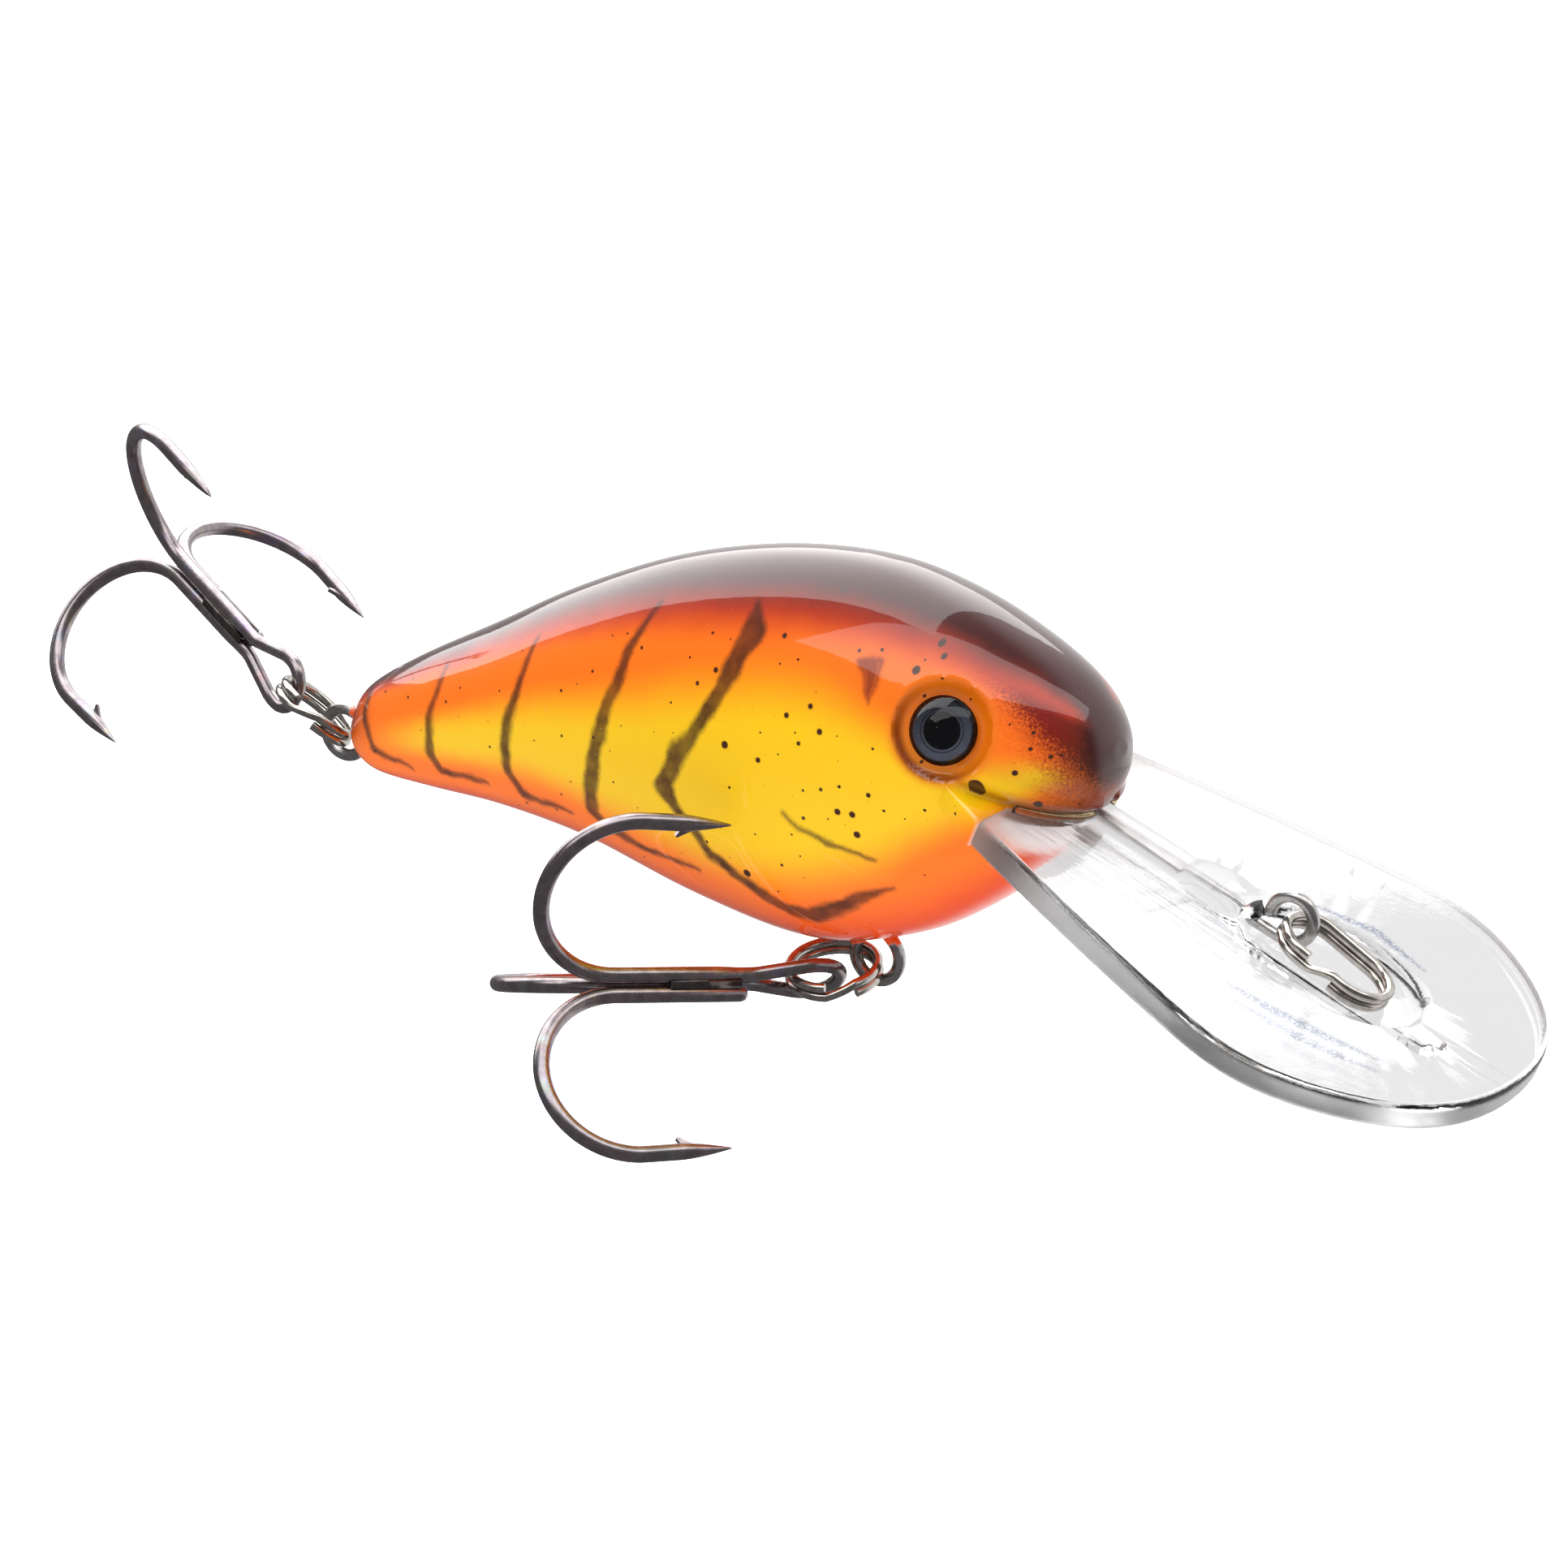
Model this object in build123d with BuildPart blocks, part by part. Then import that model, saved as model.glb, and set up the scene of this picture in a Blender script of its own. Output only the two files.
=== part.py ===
"""Deep-diving crankbait with a clear lip, two treble hooks and split rings.

+X points to the lip, +Y to the lure's left, +Z up. The origin is the middle of the free end of
the line-tie ring, where a line or a snap is fastened. Millimetres.
"""

import os
from math import acos, cos, degrees, radians, sin, tan

from build123d import *

os.makedirs("parts", exist_ok=True)

# ---------------------------------------------------------------- driving dimensions (mm)
MOVING_GAP = 0.02            # clearance of a moulded-in or fitted piece in its pocket

# Body: stations along X as (x, top, bottom, half width)
BODY_SECTIONS = [
    (-81.6, 16.9, 13.5, 1.4),
    (-79.6, 19.2, 12.3, 2.7),
    (-74.4, 21.5, 11.3, 4.3),
    (-67.4, 23.9, 10.1, 6.0),
    (-59.4, 26.7, 7.8, 7.6),
    (-50.4, 28.9, 3.9, 8.9),
    (-41.4, 29.7, 1.1, 9.6),
    (-33.4, 28.8, 1.9, 9.4),
    (-27.4, 26.6, 4.1, 8.6),
    (-22.4, 23.6, 7.1, 7.2),
    (-18.9, 20.8, 10.3, 5.3),
    (-16.9, 18.2, 12.5, 3.1),
    (-16.0, 16.0, 14.8, 0.6),
]
WALL = 1.4                   # thickness of the moulded shell
CAVITY_FIRST = 3             # the hollow runs over these stations
CAVITY_LAST = 8

# Lip: a flat plate that slopes down from its root inside the nose
LIP_ROOT = (-21.65, 12.83)   # x and z of the top face at the root
LIP_SLOPE = 30.6             # degrees below the body's axis
LIP_LENGTH = 38.3
LIP_THICKNESS = 2.0
LIP_ROOT_HALF_WIDTH = 10.1
LIP_TONGUE_LENGTH = 6.5      # the part that is buried in the body
LIP_TONGUE_HALF_WIDTH = 5.0
LIP_EDGE_ROUND = 0.5
LIP_ROOT_FLARE = 0.36        # how fast the sides spread at the root
LIP_OUTLINE = [              # (share of the length, share of the root's half width)
    (0, 1),
    (0.5, 1.59),
    (0.66, 1.67),
    (0.86, 1.29),
    (1, 0),
]
DISH_CENTRE = 23.5           # distance from the root
DISH_HALF_LENGTH = 7.3
DISH_HALF_WIDTH = 6.1
DISH_DEPTH = 1.25
DISH_WALL_TAPER = 40.0
SPINE_HALF_WIDTH = 1.3
SPINE_HEIGHT = 0.6
SPINE_END = 14.5
RIB_TAPER = 35.0             # slope of the sides of the spine, the pad and the keel
PAD_HALF_WIDTH = 2.6         # widening of the spine round the wire
PAD_CENTRE = 14.0
PAD_HALF_LENGTH = 3.4
KEEL_START = 2.0
KEEL_END = 33.0
KEEL_HALF_WIDTH = 1.5
KEEL_DEPTH = 0.8
BEAD_SIZE = 0.45             # bead of glue round the nose
BEAD_START = 0.5             # distance from the lip's root

# Jaw that swells out of the cheeks to carry the lip
JAW_SECTIONS = [             # (distance from the lip's root, half width, half height, drop)
    (-9.5, 7.6, 2.6, 0.4),
    (-4.5, 9.3, 2.6, 0.9),
    (-0.6, 10.4, 2.0, 1.2),
]

# Wire eye of the line tie
TIE_WIRE = 0.9
TIE_LOOP_RADIUS = 1.62
TIE_LOOP_ABOVE_LIP = 1.12
TIE_LEG_START = -5.0         # distances from the lip's root
TIE_LOOP_DISTANCE = 19.47
TIE_OPEN_ANGLE = 70.0        # part of the circle that stays open beside the leg

# Oval split ring on the line tie
TIE_RING_WIRE = 0.7
TIE_RING_LENGTH = 9.0
TIE_RING_WIDTH = 5.5
TIE_RING_SLOPE = LIP_SLOPE + 8.5
TIE_RING_STEP = 1.1

# Wire hangers: an outer eye and an inner eye round a boss of the shell
HANGER_WIRE = 0.95
HANGER_EYE_RADIUS = 1.82
HANGER_EYE_SPACING = 6.0
BELLY_EYE = (-37.95, -0.15)  # x and z of the outer eye
TAIL_EYE = (-83.1, 15.3)

# Round split rings
RING_WIRE = 0.7
RING_RADIUS = 3.17           # of the wire's centre line
RING_TURN_GAP = 0.04
RING_STEP_ANGLE = 40.0
# where each hangs: the wire in the hanger's eye, the way to the ring's centre, the ring's normal
BELLY_RING_BAR = (-37.98, 0, -0.61)
BELLY_RING_ACROSS = (-0.768, -0.641, -0.010)
BELLY_RING_NORMAL = (0.177, -0.227, 0.958)
TAIL_RING_BAR = (-83.08, 0, 14.75)
TAIL_RING_ACROSS = (-0.708, -0.125, 0.695)
TAIL_RING_NORMAL = (0.602, 0.406, 0.687)

# Treble hooks
HOOK_WIRE = 1.2
HOOK_SHANK_OFFSET = 0.78     # of each shank from the hook's axis
HOOK_SHANK_END = 13.5
HOOK_BEND_RADIUS = 6.2
HOOK_BEND_ANGLE = 183.0
HOOK_POINT_STRAIGHT = 2.6
HOOK_POINT_TAPER_LENGTH = 3.6
HOOK_POINT_TIP_RADIUS = 0.07
BARB_ROOT_DISTANCE = 0.91    # along the point from the start of its taper
BARB_TIP_DISTANCE = -0.3
BARB_HEEL_DISTANCE = -0.1
BARB_ROOT_DEPTH = 0.3
BARB_HEIGHT = 0.62
BARB_THICKNESS = 0.34
EYE_WIRE = 1.05
EYE_HALF_WIDTH = 1.9
EYE_TOP = -3.15              # distances from the middle of the eye along the hook
EYE_SHOULDER = -0.6
EYE_KNEE = 3.2
EYE_ROUNDING = [3.0, 3.0, 1.8, 1.8, 3.0, 3.0]
DOUBLE_SHANK_START = 4.0
SINGLE_SHANK_START = 3.9
BRAZE_START = 4.4
BRAZE_END = 9.6
BRAZE_RADIUS = 0.98
# where each hangs: the middle of its eye, the way along its shank, the side of the single hook
BELLY_HOOK_EYE = (-42.13, -4.29, -1.12)
BELLY_HOOK_AXIS = (-0.607, -0.771, 0.192)
BELLY_HOOK_SINGLE_SIDE = (0.425, -0.519, -0.741)
TAIL_HOOK_EYE = (-88.79, 0.06, 19.83)
TAIL_HOOK_AXIS = (-0.815, 0.299, 0.497)
TAIL_HOOK_SINGLE_SIDE = (0.220, 0.952, -0.211)

# Eyes
EYE_CENTRE = (-25.3, 7.74, 18.5)      # on the skin; mirrored for the right side
EYE_NORMAL = (0.28, 0.93, 0.24)
SOCKET_RADIUS = 3.3
SOCKET_DEPTH = 0.75
SOCKET_CUT_HEIGHT = 2.5      # tall enough to clear the curved skin
PUPIL_DISC_RADIUS = 2.35
PUPIL_DISC_THICKNESS = 0.25
EYE_DOME_RADIUS = 2.4
EYE_DOME_HEIGHT = 1.35

# Ballast, held on pins moulded in the two shells
FRONT_BALLAST = (-33.2, 8.3)
FRONT_BALLAST_RADIUS = 3.1
FRONT_BALLAST_WIDTH = 7.4
REAR_BALLAST = (-50.0, 10.2)
REAR_BALLAST_RADIUS = 2.3
REAR_BALLAST_WIDTH = 6.0
BALLAST_EDGE_ROUND = 0.6
BALLAST_PIN_RADIUS = 1.0
BALLAST_BOSS_RADIUS = 1.9
SHELL_BOSS_RADIUS = HANGER_EYE_RADIUS - HANGER_WIRE / 2 - MOVING_GAP


# ---------------------------------------------------------------- planes worked out from them
lip_direction = Vector(cos(radians(LIP_SLOPE)), 0, -sin(radians(LIP_SLOPE)))
lip_normal = Vector(sin(radians(LIP_SLOPE)), 0, cos(radians(LIP_SLOPE)))
lip_plane = Plane(
    origin=(LIP_ROOT[0], 0, LIP_ROOT[1]),
    x_dir=lip_direction,
    z_dir=lip_normal,
)
# the middle plane of the lip's wire: local x runs down the lip, local y stands off it
lip_section = Plane(
    origin=lip_plane.origin,
    x_dir=lip_direction,
    z_dir=(0, -1, 0),
)
ring_direction = Vector(
    cos(radians(TIE_RING_SLOPE)), 0, -sin(radians(TIE_RING_SLOPE))
)
ring_normal = Vector(sin(radians(TIE_RING_SLOPE)), 0, cos(radians(TIE_RING_SLOPE)))


def save(part, name):
    """Label one finished piece and write its STEP file."""
    part.label = name
    export_step(part, f"parts/{name}.step")


def swept_wire(radius, plane_of_end, path):
    """Sweep a round wire along a path inside the active part."""
    with BuildSketch(plane_of_end) as section:
        Circle(radius)
    sweep(sections=section.sketch, path=path)


# ---------------------------------------------------------------- forms used to cut and join
def lofted_body(grow, first, last):
    """Closed form through the body's stations, grown or shrunk by a distance."""
    with BuildPart() as form:
        for x, top, bottom, half_width in BODY_SECTIONS[first:last + 1]:
            with BuildSketch(Plane.YZ.offset(x)):
                with Locations((0, (top + bottom) / 2)):
                    Ellipse(half_width + grow, (top - bottom) / 2 + grow)
        loft()
    return form.part


body_form = lofted_body(0, 0, len(BODY_SECTIONS) - 1)
cavity_form = lofted_body(-WALL, CAVITY_FIRST, CAVITY_LAST)
bead_form = lofted_body(BEAD_SIZE, 1, len(BODY_SECTIONS) - 2)

with BuildPart() as jaw_form:
    for distance, half_width, half_height, drop in JAW_SECTIONS:
        station = Plane(
            origin=lip_plane.from_local_coords((distance, 0, -drop)),
            x_dir=(0, 1, 0),
            z_dir=lip_direction,
        )
        with BuildSketch(station):
            Ellipse(half_width, half_height)
    loft()


def lip_outline():
    """Half outline of the lip, from the root to the tip, in the lip plane."""
    points = [(LIP_LENGTH * along, LIP_ROOT_HALF_WIDTH * across) for along, across in LIP_OUTLINE]
    return Spline(*points, tangents=((1, LIP_ROOT_FLARE), (0, -1)))


def lip_plate(grow):
    """Plate, buried tongue, spine and keel of the lip, grown for the slot that takes them."""
    with BuildPart() as plate:
        with BuildSketch(lip_plane.offset(grow)):
            with BuildLine():
                edge = lip_outline()
                Line(edge @ 1, (0, 0))
                Line((0, 0), edge @ 0)
            make_face()
            mirror(about=Plane.XZ)
            with Locations((-LIP_TONGUE_LENGTH / 2, 0)):
                Rectangle(LIP_TONGUE_LENGTH + 2 * grow, 2 * LIP_TONGUE_HALF_WIDTH + 2 * grow)
        extrude(amount=-(LIP_THICKNESS + 2 * grow))
        rim = plate.edges().filter_by(
            lambda edge: edge.length > LIP_LENGTH and edge.geom_type == GeomType.BSPLINE
        )
        fillet(rim, LIP_EDGE_ROUND)
        with BuildSketch(lip_plane):
            with Locations((SPINE_END / 2, 0)):
                Rectangle(SPINE_END, 2 * SPINE_HALF_WIDTH + 2 * grow)
        extrude(amount=SPINE_HEIGHT + grow, taper=RIB_TAPER)
        with BuildSketch(lip_plane):
            with Locations((PAD_CENTRE, 0)):
                Ellipse(PAD_HALF_LENGTH, PAD_HALF_WIDTH)
        extrude(amount=SPINE_HEIGHT, taper=RIB_TAPER)
        with BuildSketch(lip_plane.offset(-LIP_THICKNESS)):
            with Locations(((KEEL_START + KEEL_END) / 2, 0)):
                SlotOverall(KEEL_END - KEEL_START + 2 * grow, 2 * KEEL_HALF_WIDTH + 2 * grow)
        extrude(amount=-(KEEL_DEPTH + grow), taper=RIB_TAPER)
    return plate.part


# ---------------------------------------------------------------- line tie
def tie_wire(grow):
    """Straight leg in the lip and the eye that stands up from it."""
    radius = TIE_WIRE / 2 + grow
    leg_height = TIE_LOOP_ABOVE_LIP - TIE_LOOP_RADIUS
    with BuildPart() as wire:
        with BuildLine(lip_section) as path:
            leg = Line((TIE_LEG_START, leg_height), (TIE_LOOP_DISTANCE, leg_height))
            CenterArc(
                (TIE_LOOP_DISTANCE, TIE_LOOP_ABOVE_LIP),
                TIE_LOOP_RADIUS,
                -90,
                360 - TIE_OPEN_ANGLE,
            )
        start = Plane(origin=leg @ 0, z_dir=lip_direction)
        swept_wire(radius, start, path.line)
    return wire.part


def joined_turns(wire, turns):
    """Step that climbs from the end of the first turn to the start of the second."""
    first, second = turns
    with BuildLine() as step:
        climb = Spline(first @ 1, second @ 0, tangents=(first % 1, second % 0))
    swept_wire(wire / 2, Plane(origin=climb @ 0, z_dir=climb % 0), step.line)


def oval_ring():
    """Two turns of wire in a long oval, with a step where one turn climbs to the other."""
    end_radius = (TIE_RING_WIDTH - TIE_RING_WIRE) / 2
    straight = TIE_RING_LENGTH - TIE_RING_WIRE - 2 * end_radius
    rise = (TIE_RING_WIRE + RING_TURN_GAP) / 2
    plane = Plane(
        origin=(-straight * ring_direction.X, 0, -straight * ring_direction.Z),
        x_dir=ring_direction,
        z_dir=ring_normal,
    )
    turns = []
    with BuildPart() as ring:
        for level in (-rise, rise):
            with BuildLine(plane.offset(level)) as turn:
                Line((straight / 2 + TIE_RING_STEP, -end_radius), (straight, -end_radius))
                CenterArc((straight, 0), end_radius, -90, 180)
                Line((straight, end_radius), (0, end_radius))
                CenterArc((0, 0), end_radius, 90, 180)
                Line((0, -end_radius), (straight / 2 - TIE_RING_STEP, -end_radius))
            path = turn.wires()[0]
            swept_wire(TIE_RING_WIRE / 2, Plane(origin=path @ 0, z_dir=path % 0), path)
            turns.append(path)
        joined_turns(TIE_RING_WIRE, turns)
    return ring.part


# ---------------------------------------------------------------- hangers and round rings
def hanger(eye, inward, grow):
    """Figure-eight wire: the outer eye at eye, the inner eye on the side of inward."""
    radius = HANGER_WIRE / 2 + grow
    plane = Plane(origin=(eye[0], 0, eye[1]), x_dir=inward, z_dir=(0, -1, 0))
    open_angle = degrees(acos(2 * HANGER_EYE_RADIUS / HANGER_EYE_SPACING))
    with BuildPart() as wire:
        for side in (1, -1):
            with BuildLine(plane) as path:
                outer = CenterArc((0, 0), HANGER_EYE_RADIUS, 180, side * (open_angle - 180))
                inner = CenterArc(
                    (HANGER_EYE_SPACING, 0),
                    HANGER_EYE_RADIUS,
                    180 + side * open_angle,
                    side * (180 - open_angle),
                )
                Line(outer @ 1, inner @ 0)
            swept_wire(radius, Plane(origin=outer @ 0, z_dir=outer % 0), path.wires()[0])
    return wire.part


def split_ring(centre, across, normal):
    """Two turns of round wire with a step; the step lies a quarter turn from across."""
    plane = Plane(origin=centre, x_dir=across, z_dir=normal)
    rise = (RING_WIRE + RING_TURN_GAP) / 2
    turns = []
    with BuildPart() as ring:
        for level in (-rise, rise):
            with BuildLine(plane.offset(level)):
                turn = CenterArc(
                    (0, 0),
                    RING_RADIUS,
                    90 + RING_STEP_ANGLE / 2,
                    360 - RING_STEP_ANGLE,
                )
            swept_wire(RING_WIRE / 2, Plane(origin=turn @ 0, z_dir=turn % 0), turn)
            turns.append(turn)
        joined_turns(RING_WIRE, turns)
    return ring.part


# ---------------------------------------------------------------- treble hooks
def hook_frames(centre, axis, single_side):
    """Planes of the three bends: local x along the shank, local y outwards."""
    along = Vector(*axis).normalized()
    side = Vector(*single_side)
    side = (side - along * side.dot(along)).normalized()
    frames = []
    for turn in (0, 120, 240):
        outward = side.rotate(Axis((0, 0, 0), along), turn)
        frames.append(Plane(origin=centre, x_dir=along, z_dir=along.cross(outward)))
    return frames


def hook_bend(frame):
    """Bend, point and barb of one hook, joined to the active part."""
    shank_y = HOOK_SHANK_OFFSET
    with BuildLine(frame) as path:
        bend = CenterArc(
            (HOOK_SHANK_END, shank_y + HOOK_BEND_RADIUS),
            HOOK_BEND_RADIUS,
            -90,
            HOOK_BEND_ANGLE,
        )
        Line(bend @ 1, (bend @ 1) + (bend % 1) * HOOK_POINT_STRAIGHT)
    direction = bend % 1
    point_base = (bend @ 1) + direction * HOOK_POINT_STRAIGHT
    swept_wire(HOOK_WIRE / 2, Plane(origin=bend @ 0, z_dir=bend % 0), path.line)
    point_tip = point_base + direction * HOOK_POINT_TAPER_LENGTH
    with BuildSketch(Plane(origin=point_base, z_dir=direction)) as point_root:
        Circle(HOOK_WIRE / 2)
    with BuildSketch(Plane(origin=point_tip, z_dir=direction)) as point_end:
        Circle(HOOK_POINT_TIP_RADIUS)
    loft(sections=[point_root.sketch, point_end.sketch])
    # the barb is a thin blade cut up from the inner side of the point
    inward = direction.cross(frame.z_dir)
    if inward.dot(frame.y_dir) > 0:
        inward = -inward
    blade = Plane(origin=point_base, x_dir=direction, z_dir=direction.cross(inward))
    with BuildSketch(blade) as barb:
        Polygon(
            (BARB_ROOT_DISTANCE, BARB_ROOT_DEPTH),
            (BARB_TIP_DISTANCE, HOOK_WIRE / 2 + BARB_HEIGHT),
            (BARB_HEEL_DISTANCE, BARB_ROOT_DEPTH),
            align=None,
        )
    extrude(barb.sketch, amount=BARB_THICKNESS / 2, both=True)


def shank(frame, start, end, radius):
    """Straight stretch of a shank between two distances along the hook."""
    base = frame.from_local_coords((start, HOOK_SHANK_OFFSET, 0))
    with BuildSketch(Plane(origin=base, z_dir=frame.x_dir)) as section:
        Circle(radius)
    extrude(section.sketch, amount=end - start)


def single_hook(frames):
    """The hook that is brazed on as a third point."""
    with BuildPart() as hook:
        shank(frames[0], SINGLE_SHANK_START, HOOK_SHANK_END, HOOK_WIRE / 2)
        hook_bend(frames[0])
    return hook.part


def double_hook(frames):
    """Two hooks bent from one wire, whose middle forms the eye."""
    single_frame = frames[0]
    across = HOOK_SHANK_OFFSET * sin(radians(120))
    depth = HOOK_SHANK_OFFSET * cos(radians(120))
    eye_plane = Plane(
        origin=single_frame.from_local_coords((0, depth, 0)),
        x_dir=single_frame.x_dir,
        z_dir=single_frame.y_dir,
    )
    with BuildPart() as hook:
        with BuildLine(eye_plane) as path:
            FilletPolyline(
                (HOOK_SHANK_END, across),
                (EYE_KNEE, across),
                (EYE_SHOULDER, EYE_HALF_WIDTH),
                (EYE_TOP, EYE_HALF_WIDTH),
                (EYE_TOP, -EYE_HALF_WIDTH),
                (EYE_SHOULDER, -EYE_HALF_WIDTH),
                (EYE_KNEE, -across),
                (HOOK_SHANK_END, -across),
                radius=EYE_ROUNDING,
            )
        start = eye_plane.from_local_coords((HOOK_SHANK_END, across, 0))
        swept_wire(EYE_WIRE / 2, Plane(origin=start, z_dir=-eye_plane.x_dir), path.line)
        for frame in frames[1:]:
            shank(frame, DOUBLE_SHANK_START, HOOK_SHANK_END, HOOK_WIRE / 2)
            hook_bend(frame)
    return hook.part


def braze(frames):
    """Filler metal between the three shanks."""
    along = frames[0].x_dir
    base = frames[0].origin + along * BRAZE_START
    with BuildPart() as filler:
        with BuildSketch(Plane(origin=base, z_dir=along)):
            Circle(BRAZE_RADIUS)
        extrude(amount=BRAZE_END - BRAZE_START)
        for frame in frames:
            groove = frame.from_local_coords((BRAZE_START, HOOK_SHANK_OFFSET, 0))
            with BuildSketch(Plane(origin=groove, z_dir=along)):
                Circle(HOOK_WIRE / 2 + MOVING_GAP / 2)
            extrude(amount=BRAZE_END - BRAZE_START, mode=Mode.SUBTRACT)
    return filler.part


# ---------------------------------------------------------------- hollow body before it is split
belly_inner_eye = (BELLY_EYE[0], BELLY_EYE[1] + HANGER_EYE_SPACING)
tail_inner_eye = (TAIL_EYE[0] + HANGER_EYE_SPACING, TAIL_EYE[1])
eye_planes = {}
for side_name, side_sign in (("left", 1), ("right", -1)):
    eye_planes[side_name] = Plane(
        origin=(EYE_CENTRE[0], side_sign * EYE_CENTRE[1], EYE_CENTRE[2]),
        z_dir=(EYE_NORMAL[0], side_sign * EYE_NORMAL[1], EYE_NORMAL[2]),
    )

body_half_width = max(half_width for x, top, bottom, half_width in BODY_SECTIONS)

with BuildPart() as bosses:
    with BuildSketch(Plane.XZ):
        with Locations(belly_inner_eye):
            Circle(SHELL_BOSS_RADIUS)
        with Locations(tail_inner_eye):
            Circle(SHELL_BOSS_RADIUS)
        with Locations(FRONT_BALLAST, REAR_BALLAST):
            Circle(BALLAST_PIN_RADIUS)
    extrude(amount=body_half_width, both=True)
    for (centre, width) in (
        (FRONT_BALLAST, FRONT_BALLAST_WIDTH),
        (REAR_BALLAST, REAR_BALLAST_WIDTH),
    ):
        for direction in (1, -1):
            with BuildSketch(Plane.XZ.offset(direction * (width / 2 + MOVING_GAP))):
                with Locations(centre):
                    Circle(BALLAST_BOSS_RADIUS)
            extrude(amount=direction * (body_half_width - width / 2))
    add(body_form, mode=Mode.INTERSECT)

with BuildPart() as hollow_body:
    add(body_form)
    add(cavity_form, mode=Mode.SUBTRACT)
    add(bosses.part)
    add(jaw_form.part)
    add(lip_plate(MOVING_GAP), mode=Mode.SUBTRACT)
    add(hanger(BELLY_EYE, (0, 0, 1), MOVING_GAP), mode=Mode.SUBTRACT)
    add(hanger(TAIL_EYE, (1, 0, 0), MOVING_GAP), mode=Mode.SUBTRACT)
    add(tie_wire(MOVING_GAP), mode=Mode.SUBTRACT)
    for socket_plane in eye_planes.values():
        with BuildSketch(socket_plane.offset(-SOCKET_DEPTH)):
            Circle(SOCKET_RADIUS)
        extrude(amount=SOCKET_CUT_HEIGHT, mode=Mode.SUBTRACT)

with BuildPart() as right_shell:
    add(hollow_body.part)
    split(bisect_by=Plane.XZ, keep=Keep.TOP)
save(right_shell.part, "right_shell")

with BuildPart() as left_shell:
    add(hollow_body.part)
    split(bisect_by=Plane.XZ, keep=Keep.BOTTOM)
save(left_shell.part, "left_shell")

# ---------------------------------------------------------------- lip, glue and line tie
with BuildPart() as diving_lip:
    add(lip_plate(0))
    for depth in (0, DISH_DEPTH):
        inset = depth * tan(radians(DISH_WALL_TAPER))
        with BuildSketch(lip_plane.offset(-depth)):
            with Locations((DISH_CENTRE, 0)):
                Ellipse(DISH_HALF_LENGTH - inset, DISH_HALF_WIDTH - inset)
    loft(mode=Mode.SUBTRACT)
    add(tie_wire(MOVING_GAP), mode=Mode.SUBTRACT)
save(diving_lip.part, "diving_lip")

with BuildPart() as line_tie_wire:
    add(tie_wire(0))
save(line_tie_wire.part, "line_tie_wire")

with BuildPart() as line_tie_ring:
    add(oval_ring())
save(line_tie_ring.part, "line_tie_ring")

with BuildPart() as lip_glue_bead:
    with BuildSketch(lip_plane.offset(MOVING_GAP)):
        with Locations((LIP_LENGTH / 2, 0)):
            Rectangle(LIP_LENGTH - 2 * BEAD_START, 4 * LIP_ROOT_HALF_WIDTH)
    extrude(amount=BEAD_SIZE)
    add(bead_form, mode=Mode.INTERSECT)
    add(body_form, mode=Mode.SUBTRACT)
    add(jaw_form.part, mode=Mode.SUBTRACT)
    add(diving_lip.part, mode=Mode.SUBTRACT)
save(lip_glue_bead.part, "lip_glue_bead")

# ---------------------------------------------------------------- hangers and rings
with BuildPart() as belly_hanger:
    add(hanger(BELLY_EYE, (0, 0, 1), 0))
save(belly_hanger.part, "belly_hanger")

with BuildPart() as tail_hanger:
    add(hanger(TAIL_EYE, (1, 0, 0), 0))
save(tail_hanger.part, "tail_hanger")


def ring_centre(bar, across):
    """Centre of a round ring from the point of its wire that lies in the hanger's eye."""
    return Vector(*bar) + Vector(*across).normalized() * RING_RADIUS


with BuildPart() as belly_split_ring:
    add(
        split_ring(
            ring_centre(BELLY_RING_BAR, BELLY_RING_ACROSS),
            BELLY_RING_ACROSS,
            BELLY_RING_NORMAL,
        )
    )
save(belly_split_ring.part, "belly_split_ring")

with BuildPart() as tail_split_ring:
    add(
        split_ring(
            ring_centre(TAIL_RING_BAR, TAIL_RING_ACROSS),
            TAIL_RING_ACROSS,
            TAIL_RING_NORMAL,
        )
    )
save(tail_split_ring.part, "tail_split_ring")

# ---------------------------------------------------------------- hooks
belly_frames = hook_frames(BELLY_HOOK_EYE, BELLY_HOOK_AXIS, BELLY_HOOK_SINGLE_SIDE)
tail_frames = hook_frames(TAIL_HOOK_EYE, TAIL_HOOK_AXIS, TAIL_HOOK_SINGLE_SIDE)

for place, frames in (("belly", belly_frames), ("tail", tail_frames)):
    save(double_hook(frames), f"{place}_hook_double")
    save(single_hook(frames), f"{place}_hook_single")
    save(braze(frames), f"{place}_hook_braze")

# ---------------------------------------------------------------- eyes
for side_name, socket_plane in eye_planes.items():
    floor = socket_plane.offset(-SOCKET_DEPTH + MOVING_GAP)
    with BuildPart() as eye_disc:
        with BuildSketch(floor):
            Circle(PUPIL_DISC_RADIUS)
        extrude(amount=PUPIL_DISC_THICKNESS)
    save(eye_disc.part, f"{side_name}_eye_disc")

    with BuildPart() as eye_dome:
        ball_radius = (EYE_DOME_RADIUS**2 + EYE_DOME_HEIGHT**2) / (2 * EYE_DOME_HEIGHT)
        seat = floor.offset(PUPIL_DISC_THICKNESS + MOVING_GAP)
        with BuildSketch(seat):
            Circle(EYE_DOME_RADIUS)
        extrude(amount=EYE_DOME_HEIGHT)
        with Locations(seat.offset(EYE_DOME_HEIGHT - ball_radius)):
            Sphere(ball_radius, mode=Mode.INTERSECT)
    save(eye_dome.part, f"{side_name}_eye_dome")

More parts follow.
